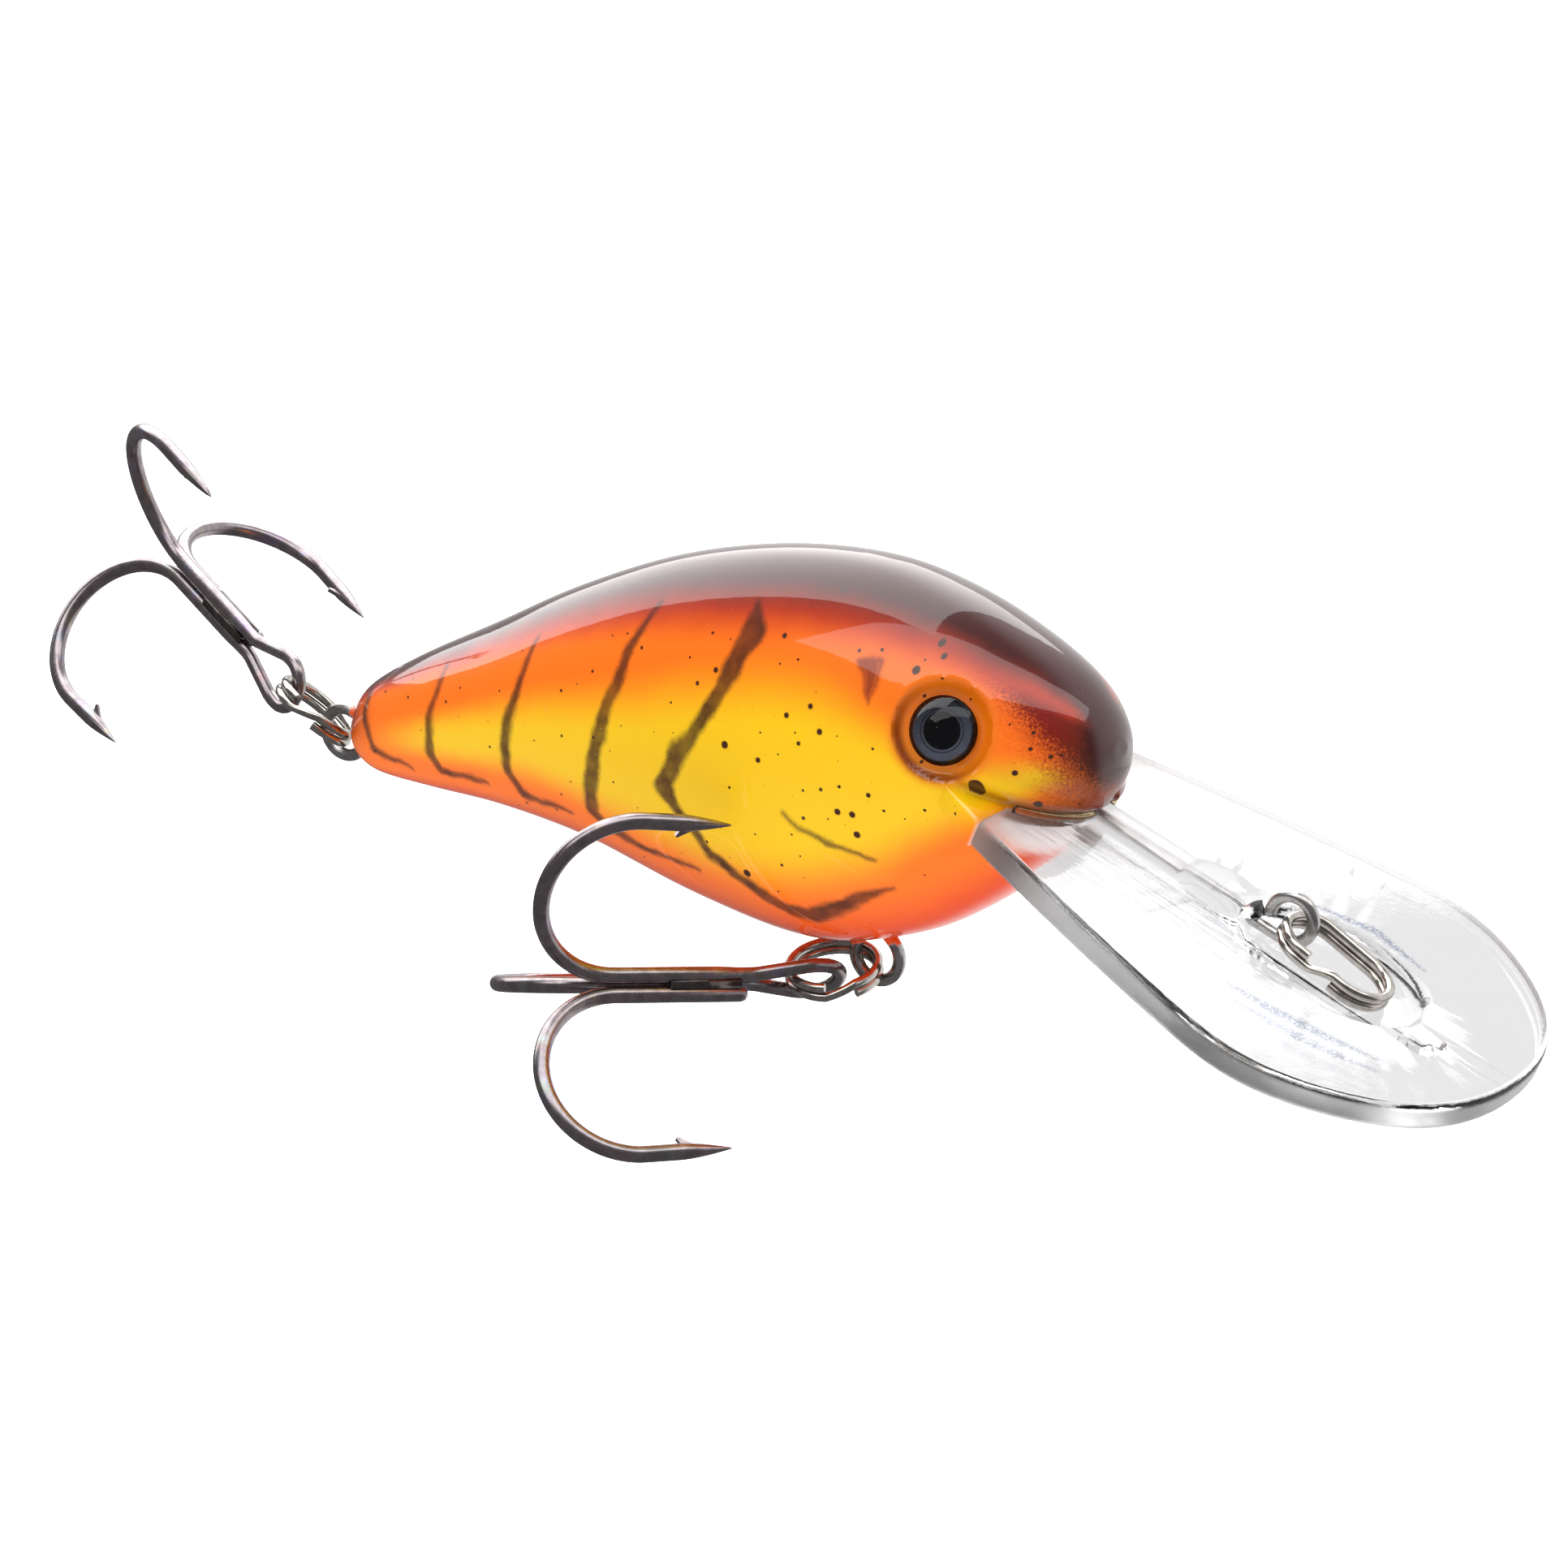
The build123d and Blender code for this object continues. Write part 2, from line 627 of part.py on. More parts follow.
# ---------------------------------------------------------------- ballast
for name, centre, radius, width in (
    ("front_ballast", FRONT_BALLAST, FRONT_BALLAST_RADIUS, FRONT_BALLAST_WIDTH),
    ("rear_ballast", REAR_BALLAST, REAR_BALLAST_RADIUS, REAR_BALLAST_WIDTH),
):
    with BuildPart() as ballast:
        with BuildSketch(Plane.XZ):
            with Locations(centre):
                Circle(radius)
                Circle(BALLAST_PIN_RADIUS + MOVING_GAP, mode=Mode.SUBTRACT)
        extrude(amount=width / 2, both=True)
        outer_rims = ballast.edges().filter_by(GeomType.CIRCLE).sort_by(SortBy.RADIUS)[-2:]
        fillet(outer_rims, BALLAST_EDGE_ROUND)
    save(ballast.part, name)
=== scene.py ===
"""Looks of a deep-diving crankbait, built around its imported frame.

Lengths in this file are millimetres unless a name says otherwise, and MM turns them into Blender's metres.
+X points to the lip, +Y to the lure's left and +Z up, as in the frame.
"""

import math

import bmesh
import bpy
from mathutils import Matrix, Vector


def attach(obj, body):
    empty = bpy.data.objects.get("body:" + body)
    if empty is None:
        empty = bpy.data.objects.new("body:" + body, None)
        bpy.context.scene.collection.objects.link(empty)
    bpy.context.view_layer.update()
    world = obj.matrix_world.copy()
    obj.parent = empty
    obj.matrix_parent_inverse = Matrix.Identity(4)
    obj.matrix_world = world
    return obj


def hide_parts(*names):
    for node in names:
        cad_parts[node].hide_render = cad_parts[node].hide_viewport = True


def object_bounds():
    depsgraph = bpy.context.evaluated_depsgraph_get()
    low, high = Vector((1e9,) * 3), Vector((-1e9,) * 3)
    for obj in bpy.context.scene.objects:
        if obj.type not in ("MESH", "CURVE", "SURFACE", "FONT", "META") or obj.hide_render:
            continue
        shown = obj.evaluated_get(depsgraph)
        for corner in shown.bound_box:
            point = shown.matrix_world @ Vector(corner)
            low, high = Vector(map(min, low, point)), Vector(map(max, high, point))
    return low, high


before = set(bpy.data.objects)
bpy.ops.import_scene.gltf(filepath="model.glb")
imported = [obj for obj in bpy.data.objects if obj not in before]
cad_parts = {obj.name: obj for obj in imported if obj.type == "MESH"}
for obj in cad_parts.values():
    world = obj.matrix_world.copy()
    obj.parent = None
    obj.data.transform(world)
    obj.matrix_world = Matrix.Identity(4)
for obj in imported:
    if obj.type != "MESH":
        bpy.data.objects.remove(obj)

bl_info = {
    "name": "Crankbait looks",
    "version": (1, 0, 0),
    "blender": (4, 5, 0),
    "location": "View3D > Sidebar > Crankbait",
    "description": "Builds the painted body, the clear lip, the wire parts and the studio of a crankbait",
    "category": "Object",
}

MM = 0.001
CAD_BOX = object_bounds()
X_AXIS = Vector((1, 0, 0))
Y_AXIS = Vector((0, 1, 0))
Z_AXIS = Vector((0, 0, 1))

# ---------------------------------------------------------------- places on the lure (mm)
# stations of the body along X: (x, top, bottom, half width)
BODY_STATIONS = [
    (-81.6, 16.9, 13.5, 1.4),
    (-79.6, 19.2, 12.3, 2.7),
    (-74.4, 21.5, 11.3, 4.3),
    (-67.4, 23.9, 10.1, 6.0),
    (-59.4, 26.7, 7.8, 7.6),
    (-50.4, 28.9, 3.9, 8.9),
    (-41.4, 29.6, 1.2, 9.6),
    (-33.4, 28.8, 1.9, 9.4),
    (-27.4, 26.6, 4.1, 8.6),
    (-22.4, 23.6, 7.1, 7.2),
    (-18.9, 20.8, 10.3, 5.3),
    (-16.9, 18.2, 12.5, 3.1),
    (-16.1, 16.0, 14.8, 0.9),
]
LIP_ROOT = Vector((-21.65, 0, 12.83))
LIP_SLOPE = math.radians(30.6)
LIP_ALONG = Vector((math.cos(LIP_SLOPE), 0, -math.sin(LIP_SLOPE)))
LIP_UP = Vector((math.sin(LIP_SLOPE), 0, math.cos(LIP_SLOPE)))
EYE_CENTRE = Vector((-25.3, 7.74, 18.5))
EYE_NORMAL = Vector((0.28, 0.93, 0.24)).normalized()
SOCKET_DEPTH = 0.75
DISC_RADIUS, DISC_THICKNESS = 2.35, 0.25
LENS_RADIUS, LENS_HEIGHT = 2.4, 1.35
RING_SLOPE = LIP_SLOPE + math.radians(8.5)
RINGS = {
    "belly": {
        "bar": Vector((-37.98, 0, -0.61)),
        "across": Vector((-0.768, -0.641, -0.010)),
        "normal": Vector((0.177, -0.227, 0.958)),
    },
    "tail": {
        "bar": Vector((-83.08, 0, 14.75)),
        "across": Vector((-0.708, -0.125, 0.695)),
        "normal": Vector((0.602, 0.406, 0.687)),
    },
}
HOOKS = {
    "belly": {
        "eye": Vector((-42.13, -4.29, -1.12)),
        "axis": Vector((-0.607, -0.771, 0.192)),
        "side": Vector((0.425, -0.519, -0.741)),
    },
    "tail": {
        "eye": Vector((-88.79, 0.06, 19.83)),
        "axis": Vector((-0.815, 0.299, 0.497)),
        "side": Vector((0.220, 0.952, -0.211)),
    },
}
HEIGHT_SPAN = 30.0


# ---------------------------------------------------------------- settings that a user may change
def colour_setting(name, description, default):
    return bpy.props.FloatVectorProperty(name=name, description=description, subtype="COLOR", default=default)


def size_setting(name, description, default):
    return bpy.props.FloatProperty(name=name, description=description + ", in millimetres", default=default, min=0)


class LurePaint(bpy.types.PropertyGroup):
    yellow: colour_setting("Yellow", "Colour of the flank", (0.90, 0.54, 0.001))
    orange: colour_setting("Orange", "Colour round the flank and of the belly", (0.95, 0.165, 0.001))
    red: colour_setting("Red", "Colour of the shoulder line", (0.50, 0.03, 0.001))
    back: colour_setting("Back", "Colour of the back", (0.05, 0.004, 0.003))
    mark: colour_setting("Mark", "Colour of the stripes and dots", (0.055, 0.012, 0.002))
    warp: size_setting("Hand", "How far the airbrush wanders", 0.35)
    speckle: bpy.props.FloatProperty(
        name="Speckle", description="Share of cells that hold a dot", default=0.22, min=0, max=1
    )


class LureHook(bpy.types.PropertyGroup):
    wire: size_setting("Wire", "Radius of the wire", 0.6)
    offset: size_setting("Offset", "Distance of a shank from the hook's axis", 0.78)
    shank: size_setting("Shank", "Distance from the eye to the bend", 13.5)
    bend: size_setting("Bend", "Radius of the bend", 6.2)
    turn: bpy.props.FloatProperty(
        name="Turn", description="Angle of the bend", default=math.radians(183), subtype="ANGLE"
    )
    straight: size_setting("Straight", "Length from the bend to the taper", 2.6)
    taper: size_setting("Taper", "Length of the point", 3.6)


class LureRing(bpy.types.PropertyGroup):
    wire: size_setting("Wire", "Radius of the wire", 0.35)
    radius: size_setting("Radius", "Radius of the wire's centre line", 3.17)
    length: size_setting("Length", "Outer length of the oval ring", 9.0)
    width: size_setting("Width", "Outer width of the oval ring", 5.5)


class LureStage(bpy.types.PropertyGroup):
    floor_drop: bpy.props.FloatProperty(
        name="Floor drop", description="Distance from the lure down to the floor", default=0.09, subtype="DISTANCE"
    )
    floor_tone: colour_setting("Floor", "Colour of the floor", (0.93, 0.93, 0.93))
    key_power: bpy.props.FloatProperty(name="Key", description="Power of the soft light behind", default=8.5)
    side_power: bpy.props.FloatProperty(name="Side", description="Power of the soft light in front", default=2.1)
    fill_power: bpy.props.FloatProperty(name="Fill", description="Power of the light without gloss", default=1.6)


# ---------------------------------------------------------------- shader helpers
class Nodes:
    """Adds nodes to one tree and links them, so that a material reads from top to bottom."""

    def __init__(self, tree):
        self.tree = tree

    def add(self, kind, inputs=None, **settings):
        node = self.tree.nodes.new(kind)
        for name, value in settings.items():
            setattr(node, name, value)
        for key, value in (inputs or {}).items():
            self.feed(node.inputs[key], value)
        return node

    def feed(self, socket, value):
        if isinstance(value, bpy.types.NodeSocket):
            self.tree.links.new(value, socket)
        else:
            socket.default_value = value

    def shade(self, **values):
        """Feed sockets of the material's shader by name, with underscores for spaces."""
        for name, value in values.items():
            self.feed(self.tree.nodes["Principled BSDF"].inputs[name.replace("_", " ")], value)

    def fed(self, name):
        """What is linked to a socket of the material's shader."""
        return self.tree.nodes["Principled BSDF"].inputs[name].links[0].from_socket

    def math(self, operation, first, second=0.0, third=0.0):
        return self.add("ShaderNodeMath", {0: first, 1: second, 2: third}, operation=operation).outputs[0]

    def plus(self, first, second):
        return self.math("ADD", first, second)

    def times(self, first, *others):
        for other in others:
            first = self.math("MULTIPLY", first, other)
        return first

    def linear(self, value, slope, offset):
        return self.math("MULTIPLY_ADD", value, slope, offset)

    def vector(self, operation, first, second=(0, 0, 0), output="Vector"):
        return self.add("ShaderNodeVectorMath", {0: first, 1: second}, operation=operation).outputs[output]

    def scaled(self, vector, factor):
        return self.add("ShaderNodeVectorMath", {0: vector, "Scale": factor}, operation="SCALE").outputs["Vector"]

    def dot(self, first, second):
        return self.vector("DOT_PRODUCT", first, second, "Value")

    def rise(self, value, low, high, smooth=True):
        """0 below low, 1 above high; a low above high turns it round."""
        inputs = {"Value": value, "From Min": low, "From Max": high}
        kind = "SMOOTHSTEP" if smooth else "LINEAR"
        return self.add("ShaderNodeMapRange", inputs, interpolation_type=kind).outputs["Result"]

    def band(self, value, outer_low, low, high, outer_high):
        """1 between low and high, 0 outside the outer pair."""
        return self.times(self.rise(value, outer_low, low), self.rise(value, outer_high, high))

    def mix(self, factor, first, second, blend="MIX"):
        node = self.add("ShaderNodeMix", {0: factor}, data_type="RGBA", blend_type=blend, clamp_factor=True)
        for socket, value in ((node.inputs[6], first), (node.inputs[7], second)):
            if not isinstance(value, bpy.types.NodeSocket):
                value = (*value[:3], 1.0)
            self.feed(socket, value)
        return node.outputs[2]

    def noise(self, vector, scale, detail=2.0, output="Fac"):
        return self.add("ShaderNodeTexNoise", {"Vector": vector, "Scale": scale, "Detail": detail}).outputs[output]

    def jitter(self, vector, scale, detail):
        """Noise that pushes a point about, centred on nothing."""
        return self.vector("SUBTRACT", self.noise(vector, scale, detail, "Color"), (0.5, 0.5, 0.5))

    def line(self, value, points, top):
        """A smooth line through (value, height) points, with heights up to top."""
        node = self.add("ShaderNodeFloatCurve")
        first, last = points[0][0], points[-1][0]
        curve = node.mapping.curves[0]
        for index, (place, height) in enumerate(points):
            spot = ((place - first) / (last - first), height / top)
            if index in (0, len(points) - 1):
                curve.points[0 if index == 0 else len(curve.points) - 1].location = spot
            else:
                curve.points.new(*spot)
        node.mapping.update()
        self.feed(node.inputs["Value"], self.rise(value, first, last, smooth=False))
        return self.times(node.outputs[0], top)

    def group(self, name, **inputs):
        """A shared node group in this tree; returns its outputs."""
        node = self.add("ShaderNodeGroup", node_tree=group_tree(name))
        for key, value in inputs.items():
            self.feed(node.inputs[key.replace("_", " ")], value)
        return node.outputs

    def bump(self, height, strength, distance, under=None):
        """Normal of a bumped surface, laid over another normal where one is given."""
        inputs = {"Height": height, "Strength": strength, "Distance": distance}
        if under:
            inputs["Normal"] = under
        return self.add("ShaderNodeBump", inputs).outputs["Normal"]


def new_group(name, inputs, outputs):
    """An empty shader node group; an input without a default is a vector, every other socket is a number."""
    tree = bpy.data.node_groups.new(name, "ShaderNodeTree")
    for socket_name, default in inputs.items():
        kind = "NodeSocketVector" if default is None else "NodeSocketFloat"
        socket = tree.interface.new_socket(socket_name, in_out="INPUT", socket_type=kind)
        if default is not None:
            socket.default_value = default
    for socket_name in outputs:
        tree.interface.new_socket(socket_name, in_out="OUTPUT", socket_type="NodeSocketFloat")
    nodes = Nodes(tree)
    return nodes, nodes.add("NodeGroupInput").outputs, nodes.add("NodeGroupOutput").inputs


def stroke_group():
    """Mask of one brush stroke from a start to an end, with its own width at both ends."""
    inputs = {"Point": None, "Start": None, "End": None, "Start Radius": 0.5, "End Radius": 0.5, "Softness": 0.3}
    nodes, given, result = new_group("Brush stroke", inputs, ["Mask"])
    reach = nodes.vector("SUBTRACT", given["End"], given["Start"])
    place = nodes.vector("SUBTRACT", given["Point"], given["Start"])
    square = nodes.math("MAXIMUM", nodes.dot(reach, reach), 0.0001)
    share = nodes.rise(nodes.math("DIVIDE", nodes.dot(place, reach), square), 0.0, 1.0, smooth=False)
    distance = nodes.vector("DISTANCE", place, nodes.scaled(reach, share), "Value")
    spread = nodes.math("SUBTRACT", given["End Radius"], given["Start Radius"])
    radius = nodes.linear(share, spread, given["Start Radius"])
    inner = nodes.math("SUBTRACT", radius, given["Softness"])
    nodes.feed(result["Mask"], nodes.rise(distance, nodes.plus(radius, given["Softness"]), inner))
    return nodes.tree


def dust_group(name="Dust", dimensions="3D"):
    """Sparse round specks: a mask of the cells that hold one."""
    nodes, given, result = new_group(name, {"Point": None, "Cell": 1.0, "Radius": 0.1, "Share": 0.2}, ["Mask"])
    scaled = nodes.scaled(given["Point"], nodes.math("DIVIDE", 1.0, given["Cell"]))
    inputs = {"Vector": scaled, "Scale": 1.0, "Randomness": 0.9}
    cells = nodes.add("ShaderNodeTexVoronoi", inputs, voronoi_dimensions=dimensions).outputs
    parts = nodes.add("ShaderNodeSeparateColor", {"Color": cells["Color"]}).outputs
    chosen = nodes.math("LESS_THAN", parts["Red"], given["Share"])
    size = nodes.linear(parts["Green"], 0.8, 0.35)
    radius = nodes.math("DIVIDE", nodes.times(given["Radius"], size), given["Cell"])
    inside = nodes.rise(cells["Distance"], radius, nodes.times(radius, 0.7))
    nodes.feed(result["Mask"], nodes.times(inside, chosen))
    return nodes.tree


def wear_group():
    """Fine scratches and handling marks: a mask for roughness and a height for bump."""
    nodes, given, result = new_group("Fine wear", {"Point": None, "Scale": 1.0}, ["Mask", "Height"])
    point = nodes.scaled(given["Point"], given["Scale"])
    streaks = nodes.noise(nodes.vector("MULTIPLY", point, (0.25, 1.0, 1.0)), 3.0, 6.0)
    cloud = nodes.noise(point, 0.35, 3.0)
    nodes.feed(result["Mask"], nodes.times(nodes.rise(streaks, 0.55, 0.72), nodes.rise(cloud, 0.4, 0.65)))
    nodes.feed(result["Height"], streaks)
    return nodes.tree


GROUP_MAKERS = {
    "stroke": stroke_group,
    "dust": dust_group,
    "spatter": lambda: dust_group("Spatter", "2D"),
    "wear": wear_group,
}
GROUPS = {}


def group_tree(name):
    """The shared group of that name, built the first time it is asked for."""
    if name not in GROUPS:
        GROUPS[name] = GROUP_MAKERS[name]()
    return GROUPS[name]


def start_material(name):
    """A material with its nodes and its position in millimetres."""
    material = bpy.data.materials.new(name)
    material.use_nodes = True
    nodes = Nodes(material.node_tree)
    return material, nodes, nodes.scaled(nodes.add("ShaderNodeTexCoord").outputs["Object"], 1.0 / MM)


# ---------------------------------------------------------------- paint of the body
# crayfish stripes on the flank as (x, z, radius) from the back to the belly
STRIPES = [
    [(-78.6, 19.6, 0.35), (-78.9, 17.0, 0.3), (-78.2, 15.0, 0.3), (-74.6, 13.6, 0.15)],
    [(-69.6, 21.6, 0.15), (-70.8, 18.2, 0.35), (-71.6, 15.2, 0.5), (-70.9, 13.8, 0.45), (-66.4, 13.1, 0.15)],
    [(-60.1, 24.0, 0.15), (-61.2, 20.9, 0.35), (-62.7, 17.2, 0.5), (-63.5, 14.2, 0.5), (-62.9, 12.8, 0.4),
     (-58.4, 11.5, 0.15)],
    [(-48.9, 26.6, 0.2), (-50.4, 23.9, 0.4), (-52.7, 19.2, 0.6), (-54.6, 15.2, 0.65), (-55.8, 12.0, 0.6),
     (-54.8, 10.6, 0.45), (-51.0, 8.9, 0.3), (-47.0, 8.1, 0.15)],
    [(-40.3, 26.6, 0.25), (-40.2, 25.0, 0.95), (-41.8, 22.2, 0.7), (-44.0, 18.9, 0.55), (-46.6, 16.3, 0.65),
     (-48.0, 14.5, 0.8), (-47.2, 12.9, 0.45), (-45.1, 9.2, 0.45), (-42.8, 7.2, 0.5), (-40.3, 5.0, 0.6),
     (-38.7, 4.4, 0.7), (-35.6, 5.6, 0.5), (-31.3, 7.1, 0.15)],
    [(-37.8, 12.7, 0.12), (-34.9, 10.6, 0.25), (-31.7, 9.3, 0.12)],
]
CHEEK_MARK = [(-31.6, 23.0, 0.25), (-29.9, 23.1, 0.25), (-30.4, 20.6, 0.08), (-30.7, 22.7, 0.7), (-31.6, 23.0, 0.25),
              (-30.4, 20.6, 0.08)]
# larger dots on the flank as (x, z, radius)
DOTS = [
    (-23.2, 14.5, 0.62), (-19.7, 12.9, 0.26), (-20.7, 15.3, 0.2), (-19.7, 16.8, 0.14), (-18.6, 16.1, 0.14),
    (-27.4, 22.4, 0.28), (-26.2, 23.9, 0.24), (-25.8, 23.1, 0.2), (-34.0, 27.5, 0.3), (-37.5, 24.8, 0.18),
    (-42.0, 17.6, 0.28), (-36.8, 19.7, 0.2), (-34.9, 20.3, 0.2), (-34.2, 18.6, 0.22), (-35.9, 17.8, 0.16),
    (-39.3, 16.6, 0.2), (-32.4, 11.3, 0.26), (-32.4, 12.8, 0.24), (-33.5, 13.0, 0.24), (-36.3, 12.5, 0.14),
    (-30.9, 14.2, 0.18), (-34.5, 14.6, 0.14), (-42.8, 22.6, 0.2), (-44.3, 21.7, 0.16), (-42.5, 8.0, 0.3),
]
# top and bottom edge of the yellow, as shares of the body's height along X
YELLOW_TOP = [(-81.6, 0.56), (-66.0, 0.62), (-60.0, 0.64), (-52.0, 0.67), (-43.5, 0.72), (-36.0, 0.73),
              (-30.0, 0.66), (-24.0, 0.56), (-16.1, 0.50)]
YELLOW_BOTTOM = [(-81.6, 0.36), (-66.0, 0.34), (-61.7, 0.33), (-53.0, 0.28), (-43.5, 0.24), (-33.0, 0.25),
                 (-27.0, 0.31), (-16.1, 0.36)]
TONES = {
    "belly": (0.72, 0.052, 0.001),
    "tail": (0.20, 0.010, 0.002),
    "nose red": (0.75, 0.11, 0.002),
    "nose brown": (0.19, 0.004, 0.001),
    "nose side": (0.10, 0.022, 0.002),
    "nose tip": (0.045, 0.005, 0.003),
    "lip_joint_shade": (0.07, 0.008, 0.002),
    "crease_shade": (0.30, 0.09, 0.004),
    "bare plastic": (0.86, 0.80, 0.78),
    "socket": (0.80, 0.17, 0.004),
    "socket rim shade": (0.25, 0.045, 0.003),
    "cheek": (0.20, 0.02, 0.003),
    "dust": (0.75, 0.66, 0.55),
    "iris top": (0.020, 0.022, 0.030),
    "iris": (0.085, 0.095, 0.13),
    "iris flake": (0.14, 0.15, 0.20),
    "pupil": (0.002, 0.002, 0.003),
    "pupil line": (0.01, 0.01, 0.014),
    "eye dust": (0.55, 0.56, 0.58),
    "lip": (0.95, 0.943, 0.95),
    "lip root": (0.95, 0.90, 0.89),
    "scuff": (0.20, 0.24, 0.38),
    "ridge_shade": (0.66, 0.66, 0.68),
    "flow line": (0.55, 0.59, 0.66),
    "metal speck": (0.03, 0.02, 0.015),
    "wire paint": (0.72, 0.075, 0.002),
}


def painted_strokes(nodes, point, chain, softness, mask=None):
    """The strongest of a chain of brush strokes, joined to an earlier mask."""
    for (x0, z0, r0), (x1, z1, r1) in zip(chain, chain[1:] or chain):
        stroke = nodes.group(
            "stroke", Point=point, Start=(x0, 0, z0), End=(x1, 0, z1), Start_Radius=r0, End_Radius=r1,
            Softness=softness,
        )["Mask"]
        mask = stroke if mask is None else nodes.math("MAXIMUM", mask, stroke)
    return mask


def eye_ring(nodes, place):
    """Where a point lies round the axis of the eye on its side, and its distance from that axis."""
    mirrored = nodes.vector("MULTIPLY", nodes.vector("ABSOLUTE", place), (-1, 1, 1))
    from_eye = nodes.vector("SUBTRACT", mirrored, EYE_CENTRE)
    along = nodes.dot(from_eye, EYE_NORMAL)
    ring = nodes.vector("SUBTRACT", from_eye, nodes.scaled(tuple(EYE_NORMAL), along))
    return ring, nodes.vector("LENGTH", ring, output="Value")


def lip_place(nodes, place):
    """Where a point lies from the lip's root: along the lip, and over its top face."""
    from_root = nodes.vector("SUBTRACT", place, LIP_ROOT)
    return nodes.dot(from_root, LIP_ALONG), nodes.dot(from_root, LIP_UP)


def body_paint():
    """Airbrushed crayfish pattern under a clear coat, with painted shade above the lip and in the eye sockets."""
    paint = bpy.context.scene.lure_paint
    material, nodes, place = start_material("Crayfish paint")
    wander = nodes.jitter(place, 0.35, 3.0)
    drifted = nodes.vector("ADD", place, nodes.scaled(wander, 1.6 * paint.warp))
    sprayed = nodes.vector("ADD", place, nodes.scaled(wander, 4 * paint.warp))
    sprayed = nodes.vector("ADD", sprayed, nodes.scaled(nodes.jitter(place, 9.0, 2.0), 0.7 * paint.warp))
    parts = nodes.add("ShaderNodeSeparateXYZ", {"Vector": drifted}).outputs
    x, z = parts["X"], parts["Z"]
    top = nodes.line(x, [(s[0], s[1]) for s in BODY_STATIONS], HEIGHT_SPAN)
    bottom = nodes.line(x, [(s[0], s[2]) for s in BODY_STATIONS], HEIGHT_SPAN)
    height = nodes.math("DIVIDE", nodes.math("SUBTRACT", z, bottom), nodes.math("SUBTRACT", top, bottom))
    # from the belly up: deep orange, orange, yellow, orange
    colour = nodes.mix(nodes.rise(height, 0.02, 0.2), TONES["belly"], paint.orange)
    above = nodes.math("SUBTRACT", height, nodes.line(x, YELLOW_BOTTOM, 1.0))
    below = nodes.math("SUBTRACT", nodes.line(x, YELLOW_TOP, 1.0), height)
    flank = nodes.times(nodes.rise(above, -0.08, 0.10), nodes.rise(below, -0.08, 0.12), nodes.rise(x, -80.0, -69.0))
    colour = nodes.mix(flank, colour, paint.yellow)
    tail = nodes.times(nodes.rise(x, -77.0, -82.0), nodes.rise(height, 0.30, 0.75))
    colour = nodes.mix(tail, colour, TONES["tail"])
    # red and brown airbrushing of the nose, grainy where it fades out over the cheek
    fade = nodes.linear(nodes.noise(place, 6.0, 4.0), 0.7, -0.35)
    forward = nodes.linear(z, 0.75, nodes.plus(x, -0.75 * 18.0))
    nose = nodes.plus(nodes.rise(forward, -23.5, -16.5), fade)
    colour = nodes.mix(nodes.rise(nose, 0.10, 0.50), colour, TONES["nose red"])
    colour = nodes.mix(nodes.rise(nose, 0.40, 0.75), colour, TONES["nose brown"])
    olive = nodes.plus(nodes.rise(nodes.linear(z, -0.3, x), -27.5, -20.0), fade)
    colour = nodes.mix(nodes.times(nodes.rise(olive, 0.3, 1.1), 0.75), colour, TONES["nose side"])
    ahead, over_lip = lip_place(nodes, place)
    # painted shade: dark where the lip meets the nose, strongest towards the lip's front
    lip_joint_shade = nodes.times(nodes.band(over_lip, -0.1, 0.15, 0.3, 1.9), nodes.rise(ahead, -1.5, 4.0), 0.85)
    colour = nodes.mix(lip_joint_shade, colour, TONES["lip_joint_shade"])
    # painted shade: brown in the groove just above the lip
    crease_shade = nodes.times(nodes.band(over_lip, 0.0, 0.35, 0.45, 1.0), nodes.rise(ahead, -5.0, -2.5), 0.45)
    colour = nodes.mix(crease_shade, colour, TONES["crease_shade"])
    # shoulder and back lie over the rest
    colour = nodes.mix(nodes.rise(height, 0.80, 0.90), colour, paint.red)
    colour = nodes.mix(nodes.rise(height, 0.86, 0.96), colour, paint.back)
    tip = nodes.plus(nodes.rise(nodes.linear(z, 0.12, x), -16.2, -14.2), fade)
    colour = nodes.mix(nodes.rise(tip, 0.15, 0.85), colour, TONES["nose tip"])
    bare = nodes.times(nodes.band(over_lip, -5.5, -3.5, -0.1, 0.0), nodes.rise(ahead, -0.2, 0.3))
    colour = nodes.mix(bare, colour, TONES["bare plastic"])
    # eye socket: orange paint, with painted shade on the lower rear side of its rim
    ring, radius = eye_ring(nodes, place)
    colour = nodes.mix(nodes.times(nodes.rise(radius, 4.3, 3.3), 0.85), colour, TONES["socket"])
    shaded = nodes.rise(nodes.dot(ring, (-0.8, 0, -0.6)), -1.5, 3.0)
    colour = nodes.mix(nodes.times(nodes.band(radius, 2.75, 3.25, 3.3, 3.75), shaded), colour, TONES["socket rim shade"])
